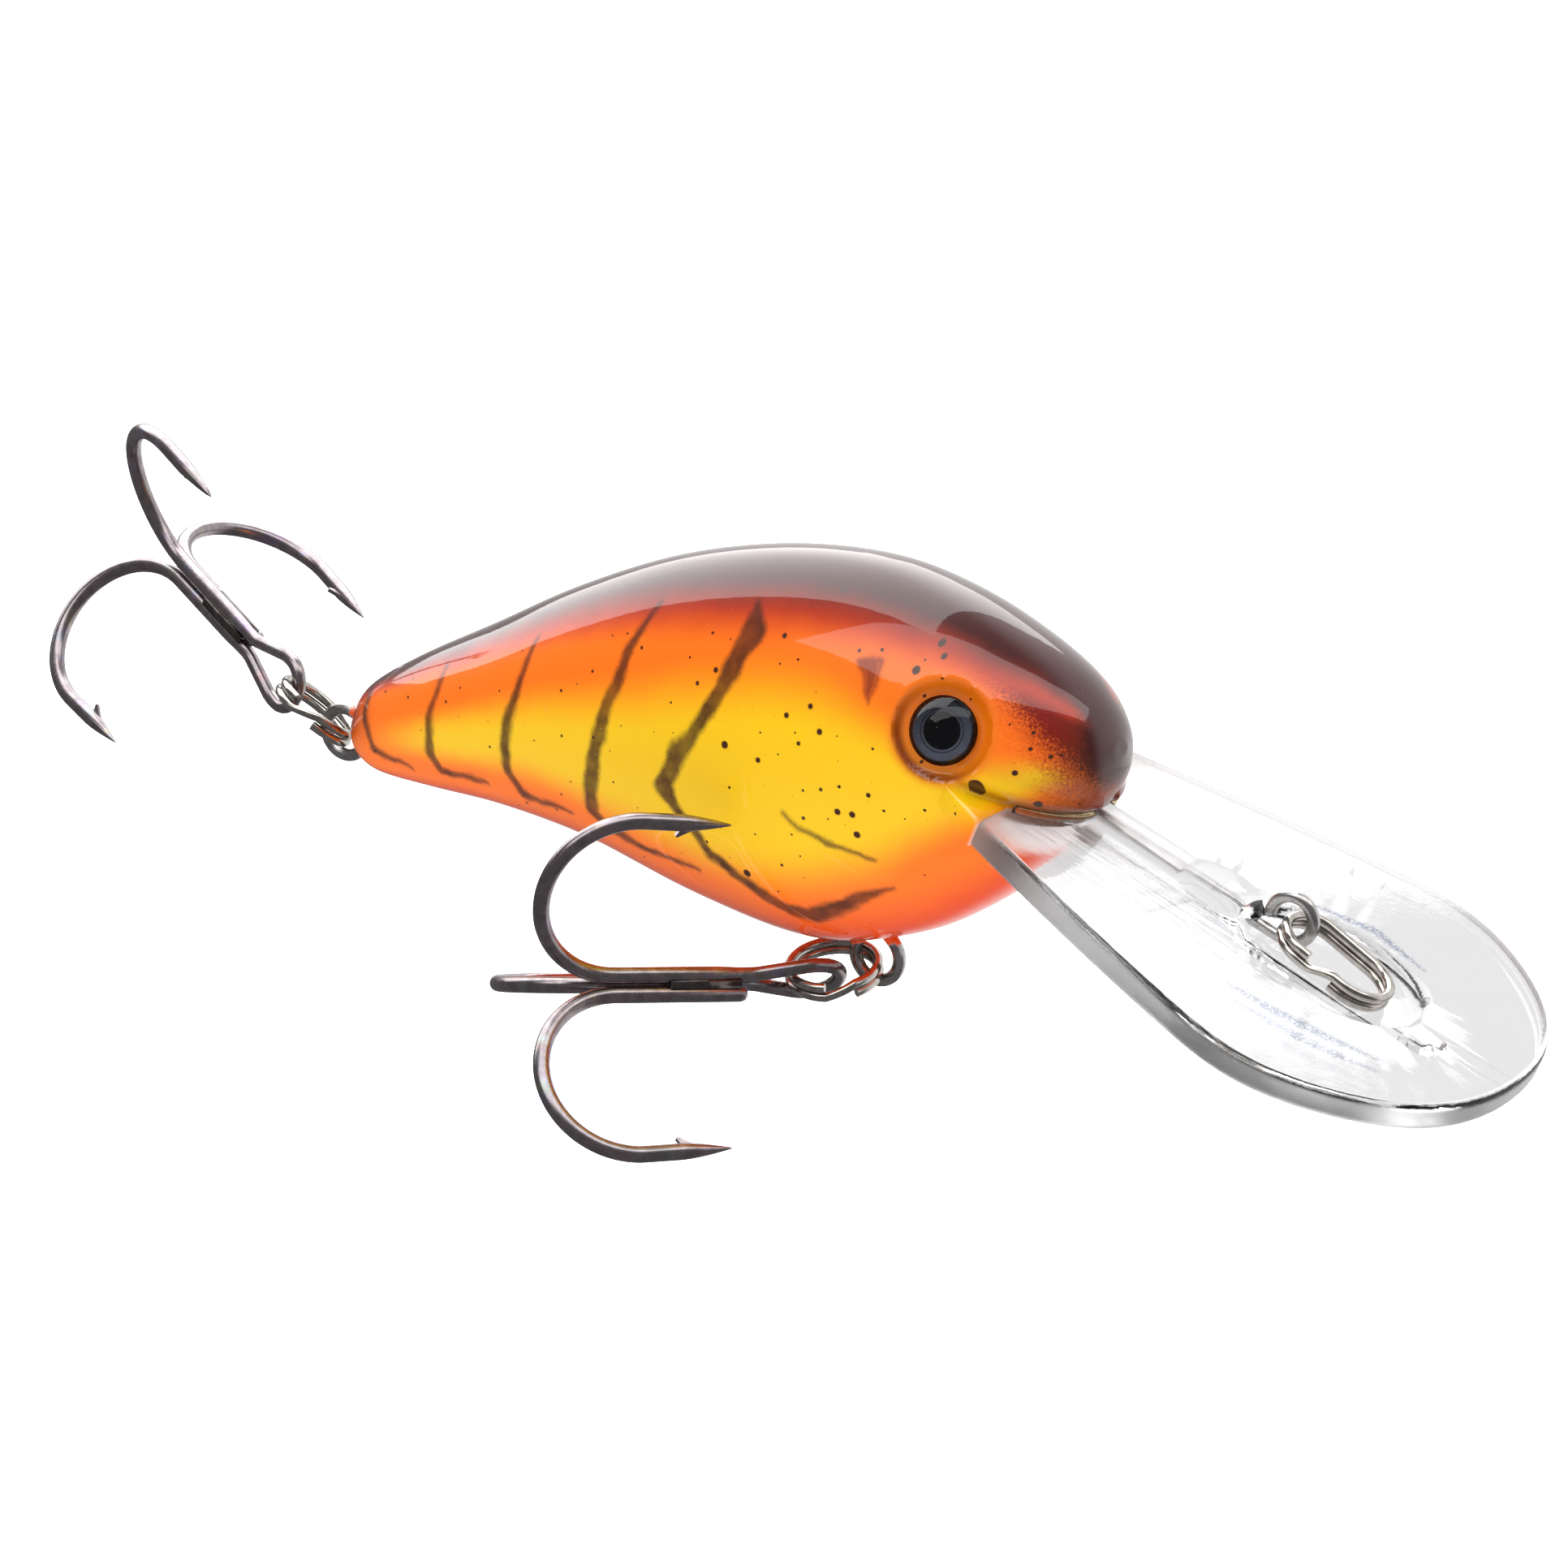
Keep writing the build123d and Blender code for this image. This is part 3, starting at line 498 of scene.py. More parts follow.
    # stripes, cheek mark, fine mist and dots
    flat = nodes.vector("MULTIPLY", sprayed, (1, 0, 1))
    stripes = None
    for chain in STRIPES:
        stripes = painted_strokes(nodes, flat, chain, 0.30, stripes)
    stripes = nodes.times(stripes, nodes.linear(nodes.noise(place, 0.6), 0.5, 0.6))
    colour = nodes.mix(stripes, colour, paint.mark)
    cheek = nodes.times(painted_strokes(nodes, flat, CHEEK_MARK, 0.3), 0.85)
    colour = nodes.mix(cheek, colour, TONES["cheek"])
    crisp = nodes.vector("MULTIPLY", place, (1, 0, 1))
    dots = None
    for dot in DOTS:
        dots = painted_strokes(nodes, crisp, [dot], 0.06, dots)
    off_jaw = nodes.math("MAXIMUM", nodes.rise(over_lip, 0.1, 0.25), nodes.rise(ahead, -5.0, -6.0))
    side = nodes.times(nodes.math("SIGN", parts["Y"]), 37.3)
    flank_point = nodes.add("ShaderNodeCombineXYZ", {"X": nodes.plus(x, side), "Y": z}).outputs[0]
    spatter = nodes.group("spatter", Point=flank_point, Cell=1.5, Radius=0.13, Share=paint.speckle)["Mask"]
    spatter = nodes.times(spatter, nodes.band(height, 0.02, 0.12, 0.85, 0.93))
    mist = nodes.group("dust", Point=place, Cell=0.45, Radius=0.05, Share=0.25)["Mask"]
    colour = nodes.mix(nodes.times(mist, 0.5), colour, paint.mark)
    colour = nodes.mix(nodes.math("MAXIMUM", nodes.times(dots, off_jaw), spatter), colour, paint.mark)
    # dust that settled in the clear coat
    dust = nodes.group("dust", Point=place, Cell=0.9, Radius=0.05, Share=0.12)["Mask"]
    colour = nodes.mix(nodes.times(dust, 0.5), colour, TONES["dust"])
    wear = nodes.group("wear", Point=place, Scale=0.8)
    normal = nodes.bump(nodes.linear(nodes.noise(place, 1.1, 1.0), 0.6, wear["Height"]), 0.012, 0.0002)
    nodes.shade(
        Base_Color=colour, Roughness=nodes.linear(nodes.noise(place, 2.0), 0.12, 0.30), Normal=normal,
        Coat_Normal=normal, Coat_Weight=1.0, Coat_Roughness=0.025, Coat_IOR=1.5, Specular_IOR_Level=0.2,
    )
    return material


def eye_print():
    """Printed disc: black rim, blue-grey iris and black pupil with a thin line round it."""
    material, nodes, place = start_material("Eye print")
    ring, radius = eye_ring(nodes, place)
    lower = nodes.rise(nodes.dot(ring, (0.2, 0, -1.0)), -2.2, 2.2)
    iris = nodes.mix(lower, TONES["iris top"], TONES["iris"])
    flake = nodes.noise(place, 12.0, 3.0)
    iris = nodes.mix(nodes.times(nodes.rise(flake, 0.5, 0.7), 0.3), iris, TONES["iris flake"])
    colour = nodes.mix(nodes.band(radius, 1.12, 1.2, 1.85, 2.05), TONES["pupil"], iris)
    colour = nodes.mix(nodes.times(nodes.band(radius, 1.25, 1.30, 1.36, 1.42), 0.7), colour, TONES["pupil line"])
    dust = nodes.group("dust", Point=place, Cell=0.25, Radius=0.025, Share=0.2)["Mask"]
    colour = nodes.mix(nodes.times(dust, 0.6), colour, TONES["eye dust"])
    nodes.shade(Base_Color=colour, Roughness=nodes.linear(flake, 0.2, 0.5), Specular_IOR_Level=0.0)
    return material


# ---------------------------------------------------------------- clear plastics and metals
def clear_plastic(name, tint, rough, ior):
    """Clear moulded plastic with fine handling marks."""
    material, nodes, place = start_material(name)
    wear = nodes.group("wear", Point=place, Scale=1.0)
    nodes.shade(
        Base_Color=nodes.mix(nodes.noise(place, 0.12, 2.0), tint, tuple(0.97 * c for c in tint)),
        Roughness=nodes.linear(wear["Mask"], 0.10, rough), Normal=nodes.bump(wear["Height"], 0.03, 0.0001),
        Transmission_Weight=1.0, IOR=ior,
    )
    return material, nodes, place


def lip_plastic():
    """Clear lip: waves along the keel, two scuffed arcs and a flush of paint at the root."""
    material, nodes, place = clear_plastic("Clear lip", TONES["lip"], 0.02, 1.38)
    ahead, depth = lip_place(nodes, place)
    across = nodes.dot(place, Y_AXIS)
    flat = nodes.add("ShaderNodeCombineXYZ", {"X": ahead, "Z": across}).outputs[0]
    rough_flat = nodes.vector("ADD", flat, nodes.scaled(nodes.jitter(place, 4.0, 3.0), 0.5))
    scuffs = painted_strokes(nodes, rough_flat, [(19.0, 5.4, 0.2), (23.0, 6.9, 0.45), (27.5, 5.9, 0.15)], 0.25)
    near_scuff = [(20.5, -9.9, 0.2), (24.0, -9.6, 0.55), (28.0, -8.7, 0.5), (31.5, -7.4, 0.1)]
    scuffs = painted_strokes(nodes, rough_flat, near_scuff, 0.3, scuffs)
    # painted shade: a thin grey line down the lip's middle, from the dish to the tip
    ridge_shade = painted_strokes(nodes, rough_flat, [(31.0, -0.6, 0.05), (38.0, 0.0, 0.12)], 0.12)
    # frost of the spine, the root and the rim's wall
    spine = nodes.times(nodes.rise(nodes.math("ABSOLUTE", across), 2.6, 1.6), nodes.rise(ahead, 15.5, 13.0))
    frost = nodes.times(nodes.math("MAXIMUM", spine, nodes.rise(ahead, 5.0, 0.5)), 0.38)
    off_dish = nodes.rise(nodes.vector("DISTANCE", flat, (23.5, 0, 0), "Value"), 8.5, 9.5)
    wall = nodes.times(nodes.band(depth, -2.0, -1.75, -0.45, -0.1), off_dish, 0.5)
    frost = nodes.math("MAXIMUM", frost, wall)
    base = nodes.mix(nodes.times(nodes.rise(ahead, 9.0, 1.0), 0.6), nodes.fed("Base Color"), TONES["lip root"])
    rubbed = nodes.times(scuffs, nodes.rise(nodes.noise(place, 5.0, 5.0), 0.36, 0.52))
    base = nodes.mix(rubbed, base, TONES["scuff"])
    base = nodes.mix(nodes.times(ridge_shade, 0.6), base, TONES["ridge_shade"])
    # flow lines beside the keel
    lines = nodes.vector("MULTIPLY", flat, (0.06, 1.0, 1.0))
    near_keel = nodes.times(nodes.band(across, -10.0, -6.0, -2.0, 0.5), nodes.rise(ahead, 30.0, 20.0))
    streaks = nodes.times(nodes.rise(nodes.noise(lines, 3.5, 5.0), 0.52, 0.66), near_keel, 0.6)
    wave = nodes.times(nodes.noise(lines, 1.6, 4.0), near_keel)
    nodes.shade(
        Base_Color=nodes.mix(streaks, base, TONES["flow line"]),
        Roughness=nodes.math("MAXIMUM", nodes.fed("Roughness"), frost),
        Normal=nodes.bump(wave, 0.12, 0.0004, nodes.fed("Normal")), Specular_IOR_Level=0.3,
    )
    return material


# colour and roughness, then the colour and share of its tints and the share of its specks
METALS = {
    "Black nickel": ((0.40, 0.35, 0.36), 0.25, (0.85, 0.75, 0.95), 0.45, 0.0),
    "Bright nickel": ((0.60, 0.565, 0.52), 0.14, None, 0.0, 0.0),
    "Drawn stainless": ((0.60, 0.585, 0.57), 0.26, None, 0.0, 0.25),
    "Plated braze": ((0.17, 0.15, 0.14), 0.22, None, 0.0, 0.0),
    "Bare slug": ((0.25, 0.25, 0.26), 0.45, None, 0.0, 0.2),
}


def metal(name):
    """Plated or drawn metal with drawing marks, colour drift and specks."""
    colour, rough, tint, tint_share, spots = METALS[name]
    material, nodes, place = start_material(name)
    cloud = nodes.rise(nodes.noise(place, 1.3, 3.0), 0.3, 0.7)
    shade = nodes.mix(cloud, tuple(0.72 * c for c in colour), colour)
    if tint:
        hue = nodes.noise(place, 0.8, 2.0, "Color")
        strength = nodes.times(nodes.rise(nodes.noise(place, 0.5, 2.0), 0.48, 0.68), tint_share)
        shade = nodes.mix(strength, shade, nodes.mix(0.6, hue, tint, "MULTIPLY"))
    specks = nodes.group("dust", Point=place, Cell=0.5, Radius=0.12, Share=spots)["Mask"]
    wear = nodes.group("wear", Point=place, Scale=3.0)
    nodes.shade(
        Base_Color=nodes.mix(nodes.times(specks, 0.75), shade, TONES["metal speck"]),
        Roughness=nodes.linear(wear["Mask"], 0.12, rough), Metallic=1.0,
        Normal=nodes.bump(wear["Height"], 0.05, 0.00005),
    )
    return material


def painted_steel():
    """Stainless wire of the hangers, with the body's paint run down onto it."""
    material = metal("Drawn stainless")
    nodes = Nodes(material.node_tree)
    place = nodes.scaled(nodes.add("ShaderNodeTexCoord").outputs["Object"], 1.0 / MM)
    parts = nodes.add("ShaderNodeSeparateXYZ", {"Vector": place}).outputs
    edge = nodes.linear(nodes.noise(place, 1.2), 1.6, -0.8)
    paint = nodes.times(
        nodes.rise(nodes.plus(parts["Z"], edge), 0.6, 0.9), nodes.rise(nodes.plus(parts["X"], edge), -82.0, -81.7)
    )
    nodes.shade(
        Base_Color=nodes.mix(paint, nodes.fed("Base Color"), TONES["wire paint"]),
        Metallic=nodes.math("SUBTRACT", 1.0, paint),
    )
    return material


# ---------------------------------------------------------------- mesh helpers
def show_mesh(bm, name, material, body, node, sharp_degrees=35):
    """Turn a bmesh in millimetres into a finished piece that rides on a body and stands for its node."""
    bmesh.ops.scale(bm, vec=(MM, MM, MM), verts=bm.verts)
    mesh = bpy.data.meshes.new(name)
    bm.to_mesh(mesh)
    bm.free()
    mesh.shade_smooth()
    mesh.set_sharp_from_angle(angle=math.radians(sharp_degrees))
    mesh.materials.append(material)
    piece = bpy.data.objects.new(name, mesh)
    bpy.context.scene.collection.objects.link(piece)
    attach(piece, body)
    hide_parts(node)
    return piece


def merged_copy(node, name, material, body, sharp_degrees=35):
    """Copy of a node's own mesh with its triangles merged and shaded smooth."""
    bm = bmesh.new()
    bm.from_mesh(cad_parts[node].data)
    bmesh.ops.remove_doubles(bm, verts=bm.verts, dist=0.002 * MM)
    bmesh.ops.dissolve_degenerate(bm, edges=bm.edges, dist=0.001 * MM)
    bmesh.ops.scale(bm, vec=(1 / MM, 1 / MM, 1 / MM), verts=bm.verts)
    piece = show_mesh(bm, name, material, body, node, sharp_degrees)
    piece.modifiers.new("Flat faces stay flat", "WEIGHTED_NORMAL").keep_sharp = True


def made_verts(items):
    return [item for item in items if isinstance(item, bmesh.types.BMVert)]


def holder_of(bm, name):
    """A passing object that holds a bmesh's surface for a modifier."""
    mesh = bpy.data.meshes.new(name)
    bm.to_mesh(mesh)
    bm.free()
    holder = bpy.data.objects.new(name, mesh)
    bpy.context.scene.collection.objects.link(holder)
    return holder


def modified(*holders):
    """The first holder's surface after its modifiers, with every holder cleared away."""
    result = bmesh.new()
    result.from_mesh(holders[0].evaluated_get(bpy.context.evaluated_depsgraph_get()).to_mesh())
    for holder in holders:
        mesh = holder.data
        bpy.data.objects.remove(holder)
        bpy.data.meshes.remove(mesh)
    return result


def ring_edges(verts):
    """The edges that join the given vertices among themselves."""
    kept = set(verts)
    return list({edge for vert in kept for edge in vert.link_edges if edge.other_vert(vert) in kept})


class Wire:
    """Round wire drawn through space by extruding and spinning its end ring."""

    def __init__(self, bm, start, direction, radius, segments=20):
        self.bm = bm
        self.point = start.copy()
        self.direction = direction.normalized()
        self.radius = radius
        turn = Z_AXIS.rotation_difference(self.direction).to_matrix().to_4x4()
        made = bmesh.ops.create_circle(
            bm, cap_ends=True, radius=radius, segments=segments, matrix=Matrix.Translation(start) @ turn
        )
        self.ring = ring_edges(made["verts"])

    def step(self, offset, radius=None):
        made = bmesh.ops.extrude_edge_only(self.bm, edges=self.ring)
        verts = made_verts(made["geom"])
        bmesh.ops.translate(self.bm, vec=offset, verts=verts)
        self.point += offset
        self.ring = ring_edges(verts)
        if radius is not None:
            factor = (radius / self.radius,) * 3
            bmesh.ops.scale(self.bm, vec=factor, space=Matrix.Translation(-self.point), verts=verts)
            self.radius = radius

    def run(self, length):
        if length > 0.001:
            self.step(self.direction * length)

    def taper(self, length, radius, power, steps=8):
        """Run that narrows or widens to a radius; power above 1 widens late."""
        first = self.radius
        for index in range(1, steps + 1):
            share = index / steps
            grown = first + (radius - first) * share**power
            self.step(self.direction * (length / steps), grown)

    def shift(self, length, rise, steps=10):
        """Run that climbs by rise in a smooth step without turning the ring."""
        done = Vector()
        for index in range(1, steps + 1):
            share = index / steps
            target = self.direction * (length * share) + rise * (share * share * (3 - 2 * share))
            self.step(target - done)
            done = target

    def bend(self, centre, axis, angle, steps, rise=None):
        """Spin the end about a centre, with an optional rise along the axis."""
        lift = (rise or Vector()) / steps
        made = bmesh.ops.spin(
            self.bm, geom=self.ring, cent=centre, axis=axis, angle=angle, steps=steps, dvec=lift, use_merge=False
        )
        self.ring = ring_edges(made_verts(made["geom_last"]))
        turn = Matrix.Rotation(angle, 3, axis)
        self.point = centre + turn @ (self.point - centre) + lift * steps
        self.direction = turn @ self.direction

    def follow(self, corners, radii):
        """Straight runs through the corners, each rounded to its radius; stops at the last corner."""
        for index, radius in enumerate(radii):
            corner, after = corners[index], corners[index + 1]
            before = self.direction
            onward = (after - corner).normalized()
            angle = before.angle(onward)
            self.run((corner - self.point).dot(before) - radius * math.tan(angle / 2))
            inward = (onward - before * before.dot(onward)).normalized()
            self.bend(self.point + inward * radius, before.cross(onward), angle, 6)
        self.run((corners[-1] - self.point).length)

    def close(self):
        bmesh.ops.contextual_create(self.bm, geom=self.ring)


def finish_wire(bm):
    """Merge the seams of a drawn wire and turn its faces outwards."""
    bmesh.ops.remove_doubles(bm, verts=bm.verts, dist=0.0005)
    bmesh.ops.recalc_face_normals(bm, faces=bm.faces)


# ---------------------------------------------------------------- body
def station_at(share):
    """Smooth section between the stations, for a share from 0 at the tail to 1 at the nose."""
    place = share * (len(BODY_STATIONS) - 1)
    index = min(int(place), len(BODY_STATIONS) - 2)
    t = place - index
    around = [BODY_STATIONS[max(0, min(len(BODY_STATIONS) - 1, index + shift))] for shift in (-1, 0, 1, 2)]
    return [
        0.5 * (2 * b + (c - a) * t + (2 * a - 5 * b + 4 * c - d) * t**2 + (3 * b - a - 3 * c + d) * t**3)
        for a, b, c, d in zip(*around)
    ]


def body_form(rings=60, segments=64):
    """Closed body from rings across its stations, bridged one to the next."""
    bm = bmesh.new()
    edges = []
    for index in range(rings + 1):
        x, top, bottom, half_width = station_at(index / rings)
        place = Matrix.Translation((x, 0, (top + bottom) / 2))
        size = Matrix.Diagonal((1, half_width, (top - bottom) / 2, 1))
        turn = Matrix.Rotation(math.pi / 2, 4, "Y")
        made = bmesh.ops.create_circle(
            bm, cap_ends=index in (0, rings), radius=1, segments=segments, matrix=place @ size @ turn
        )
        edges.append(ring_edges(made["verts"]))
    for first, second in zip(edges, edges[1:]):
        bmesh.ops.bridge_loops(bm, edges=first + second)
    ends = [face for face in bm.faces if len(face.verts) > 4]
    bmesh.ops.poke(bm, faces=ends)
    bmesh.ops.recalc_face_normals(bm, faces=bm.faces)
    return bm


def subdivided(bm, levels):
    """The same surface after Catmull-Clark subdivision."""
    holder = holder_of(bm, "subdivided")
    modifier = holder.modifiers.new("Subdivision", "SUBSURF")
    modifier.levels = modifier.render_levels = levels
    return modified(holder)


def bell(value, width):
    """Smooth hump of height 1."""
    return math.exp(-((value / width) ** 2))


def sculpt_head(bm):
    """Press in the eye sockets, and raise a swell with a groove under it above the lip."""
    bm.normal_update()
    moves = []
    for vert in bm.verts:
        if vert.co.x < -34:
            continue
        point = Vector((vert.co.x, abs(vert.co.y), vert.co.z))
        shift = Vector()
        from_eye = point - EYE_CENTRE
        along = from_eye.dot(EYE_NORMAL)
        radius = (from_eye - EYE_NORMAL * along).length
        if radius < 3.6 and vert.co.y * vert.co.y > 9:
            t = min(max((radius - 2.5) / 1.05, 0), 1)
            shift -= vert.normal * (SOCKET_DEPTH + 0.05) * (1 - t**3)
            shift += vert.normal * 0.10 * bell(radius - 3.75, 0.25)
        from_root = vert.co - LIP_ROOT
        ahead, above = from_root.dot(LIP_ALONG), from_root.dot(LIP_UP)
        if point.y > 1.0 and -7 < ahead < 7:
            strength = min(max((ahead + 5.5) / 3, 0), 1)
            shift += vert.normal * strength * (0.26 * bell(above - 1.15, 0.45) - 0.22 * bell(above - 0.35, 0.3))
        moves.append((vert, shift))
    for vert, shift in moves:
        vert.co += shift


def cut_lip_slot(bm):
    """Cut the slot that the lip fills out of the nose."""
    length, thickness = 14.0, 2.06
    slot = bmesh.new()
    bmesh.ops.create_cube(slot, size=1)
    bmesh.ops.scale(slot, vec=(length, 24, thickness), verts=slot.verts)
    turn = Matrix.Rotation(LIP_SLOPE, 4, "Y")
    place = LIP_ROOT + LIP_ALONG * (length / 2 + 0.1) + LIP_UP * (0.03 - thickness / 2)
    bmesh.ops.transform(slot, matrix=Matrix.Translation(place) @ turn, verts=slot.verts)
    uncut, tool = holder_of(bm, "uncut"), holder_of(slot, "slot")
    cut = uncut.modifiers.new("Slot", "BOOLEAN")
    cut.operation, cut.solver, cut.object = "DIFFERENCE", "EXACT", tool
    return modified(uncut, tool)


def add_jaw(bm):
    """Wedge that swells out of both cheeks behind the lip's root edge."""
    jaw = bmesh.new()
    bmesh.ops.create_cube(jaw, size=1)
    bmesh.ops.scale(jaw, vec=(6.0, 20.9, 2.3), verts=jaw.verts)
    rear = [vert for vert in jaw.verts if vert.co.x < 0]
    bmesh.ops.scale(jaw, vec=(1, 0.68, 0.75), verts=rear)
    bmesh.ops.bevel(
        jaw, geom=jaw.edges, offset=0.42, offset_type="OFFSET", affect="EDGES", segments=4, profile=0.5, material=-1
    )
    turn = Matrix.Rotation(LIP_SLOPE, 4, "Y")
    place = LIP_ROOT + LIP_ALONG * -2.95 + LIP_UP * -1.0
    bmesh.ops.transform(jaw, matrix=Matrix.Translation(place) @ turn, verts=jaw.verts)
    mesh = bpy.data.meshes.new("jaw")
    jaw.to_mesh(mesh)
    jaw.free()
    bm.from_mesh(mesh)
    bpy.data.meshes.remove(mesh)


class LURE_OT_body_shells(bpy.types.Operator):
    """Build the two painted half shells of the body"""

    bl_idname = "lure.body_shells"
    bl_label = "Body shells"

    def execute(self, context):
        material = body_paint()
        whole = subdivided(body_form(), 2)
        sculpt_head(whole)
        whole = cut_lip_slot(whole)
        add_jaw(whole)
        for side, name in ((-1, "right_shell"), (1, "left_shell")):
            half = whole.copy()
            cut = bmesh.ops.bisect_plane(
                half, geom=half.verts[:] + half.edges[:] + half.faces[:], plane_co=(0, 0, 0),
                plane_no=(0, -side, 0), clear_outer=True, dist=0.0001,
            )["geom_cut"]
            seam = [item for item in cut if isinstance(item, bmesh.types.BMEdge)]
            bmesh.ops.holes_fill(half, edges=seam)
            show_mesh(half, "painted_" + name, material, "body", name, 50)
        whole.free()
        return {"FINISHED"}


# ---------------------------------------------------------------- eyes
def eye_matrix(side, lift):
    """Plane of an eye at a height over its socket's floor."""
    mirror = Matrix.Diagonal((1, side, 1, 1))
    place = EYE_CENTRE + EYE_NORMAL * (lift - SOCKET_DEPTH + 0.02)
    turn = Z_AXIS.rotation_difference(EYE_NORMAL).to_matrix().to_4x4()
    return mirror @ Matrix.Translation(place) @ turn


def eye_disc(side):
    """Flat printed disc on the socket's floor."""
    bm = bmesh.new()
    place = eye_matrix(side, 0) @ Matrix.Translation((0, 0, DISC_THICKNESS / 2))
    bmesh.ops.create_cone(
        bm, cap_ends=True, radius1=DISC_RADIUS, radius2=DISC_RADIUS, depth=DISC_THICKNESS, segments=96, matrix=place
    )
    bmesh.ops.recalc_face_normals(bm, faces=bm.faces)
    return bm


def eye_dome(side):
    """Domed lens with a flat base, spun from half its section."""
    bm = bmesh.new()
    ball = (LENS_RADIUS**2 + LENS_HEIGHT**2) / (2 * LENS_HEIGHT)
    top = bm.verts.new((0, 0, LENS_HEIGHT))
    arc = bmesh.ops.spin(
        bm, geom=[top], cent=(0, 0, LENS_HEIGHT - ball), axis=Y_AXIS, steps=20, angle=math.asin(LENS_RADIUS / ball)
    )
    foot = bmesh.ops.extrude_vert_indiv(bm, verts=made_verts(arc["geom_last"]))["verts"][0]
    foot.co = Vector()
    bmesh.ops.spin(
        bm, geom=bm.verts[:] + bm.edges[:], cent=(0, 0, 0), axis=Z_AXIS, angle=2 * math.pi, steps=96, use_merge=True
    )
    bmesh.ops.remove_doubles(bm, verts=bm.verts, dist=0.0005)
    bmesh.ops.transform(bm, matrix=eye_matrix(side, DISC_THICKNESS - 0.02), verts=bm.verts)
    bmesh.ops.recalc_face_normals(bm, faces=bm.faces)
    return bm


class LURE_OT_eyes(bpy.types.Operator):
    """Build the printed discs and the domed lenses of both eyes"""

    bl_idname = "lure.eyes"
    bl_label = "Eyes"

    def execute(self, context):
        printed = eye_print()
        lens = clear_plastic("Eye lens", (0.99, 0.99, 0.99), 0.0, 1.38)[0]
        for side, name in ((-1, "right"), (1, "left")):
            show_mesh(eye_disc(side), f"{name}_eye_print", printed, "body", f"{name}_eye_disc")
            show_mesh(eye_dome(side), f"{name}_eye_lens", lens, "body", f"{name}_eye_dome")
        return {"FINISHED"}


# ---------------------------------------------------------------- lip and wires in the body
class LURE_OT_diving_lip(bpy.types.Operator):
    """Give the diving lip and its glue bead their clear plastics"""

    bl_idname = "lure.diving_lip"
    bl_label = "Diving lip"

    def execute(self, context):
        merged_copy("diving_lip", "clear_diving_lip", lip_plastic(), "body", 28)
        glue = clear_plastic("Amber glue", (0.93, 0.72, 0.38), 0.06, 1.5)[0]
        merged_copy("lip_glue_bead", "amber_glue_bead", glue, "body", 60)
        return {"FINISHED"}


class LURE_OT_fixed_wires(bpy.types.Operator):
    """Build the line tie's wire and the two hangers"""

    bl_idname = "lure.fixed_wires"
    bl_label = "Fixed wires"

    def execute(self, context):
        steel = metal("Drawn stainless")
        merged_copy("line_tie_wire", "drawn_line_tie_wire", steel, "body", 40)
        painted = painted_steel()
        for node in ("belly_hanger", "tail_hanger"):
            merged_copy(node, "drawn_" + node, painted, "body", 40)
        return {"FINISHED"}


# ---------------------------------------------------------------- split rings
def round_ring(bm, size, place):
    """Two flat turns of wire with a step between them."""
    normal = place["normal"].normalized()
    across = (place["across"] - normal * place["across"].dot(normal)).normalized()
    centre = place["bar"] + place["across"].normalized() * size.radius
    level = normal * (size.wire + 0.02)
    step = math.radians(40)
    first = Matrix.Rotation(math.radians(90) + step / 2, 3, normal) @ across
    wire = Wire(bm, centre + first * size.radius - level, normal.cross(first), size.wire)
    wire.bend(centre, normal, 2 * math.pi - step, 90)
    wire.bend(centre, normal, step, 12, rise=level * 2)
    wire.bend(centre, normal, 2 * math.pi - step, 90)
    wire.close()


def oval_ring(bm, size):
    """Two turns of wire in a long oval, with a step on one straight side."""
    along = Vector((math.cos(RING_SLOPE), 0, -math.sin(RING_SLOPE)))
    normal = Vector((math.sin(RING_SLOPE), 0, math.cos(RING_SLOPE)))
    end = size.width / 2 - size.wire
    straight = size.length - 2 * size.wire - 2 * end
    level = normal * (size.wire + 0.02)
    half_step = 1.1
    near = -along * straight
    wire = Wire(bm, near + along * (straight / 2 + half_step) - Y_AXIS * end - level, along, size.wire)
    for turn in (0, 1):
        wire.run(straight / 2 - half_step)
        wire.bend(Vector(), normal, math.pi, 24)
        wire.run(straight)
        wire.bend(near, normal, math.pi, 24)
        wire.run(straight / 2 - half_step)
        if turn == 0:
            wire.shift(2 * half_step, level * 2)
    wire.close()


class LURE_OT_split_rings(bpy.types.Operator):
    """Build the round rings of the hooks and the oval ring of the line tie"""

    bl_idname = "lure.split_rings"
    bl_label = "Split rings"

    def execute(self, context):
        size = context.scene.lure_ring
        material = metal("Bright nickel")
        for name, place in RINGS.items():
            bm = bmesh.new()
            round_ring(bm, size, place)
            finish_wire(bm)
            show_mesh(bm, f"{name}_ring_coil", material, f"{name}_ring", f"{name}_split_ring")
        bm = bmesh.new()
        oval_ring(bm, size)
        finish_wire(bm)
        show_mesh(bm, "line_ring_coil", material, "line_ring", "line_tie_ring")
        return {"FINISHED"}


# ---------------------------------------------------------------- treble hooks
def hook_frames(place):
    """Directions of the three bends: along the shank, outwards and across."""
    along = place["axis"].normalized()
    side = place["side"]
    side = (side - along * side.dot(along)).normalized()
    frames = []
    for index in range(3):
        outward = Matrix.Rotation(math.radians(120 * index), 3, along) @ side
        frames.append((along, outward, along.cross(outward)))
    return frames


def bend_places(hook, eye, axes):
    """Centre of a bend, the direction at the end of it and the tip of the point."""
    along, outward, _ = axes
    centre = eye + along * hook.shank + outward * (hook.offset + hook.bend)
    angle = hook.turn - math.pi / 2
    rim = centre + (along * math.cos(angle) + outward * math.sin(angle)) * hook.bend
    direction = -along * math.sin(angle) + outward * math.cos(angle)
    return centre, direction, rim + direction * (hook.straight + hook.taper)


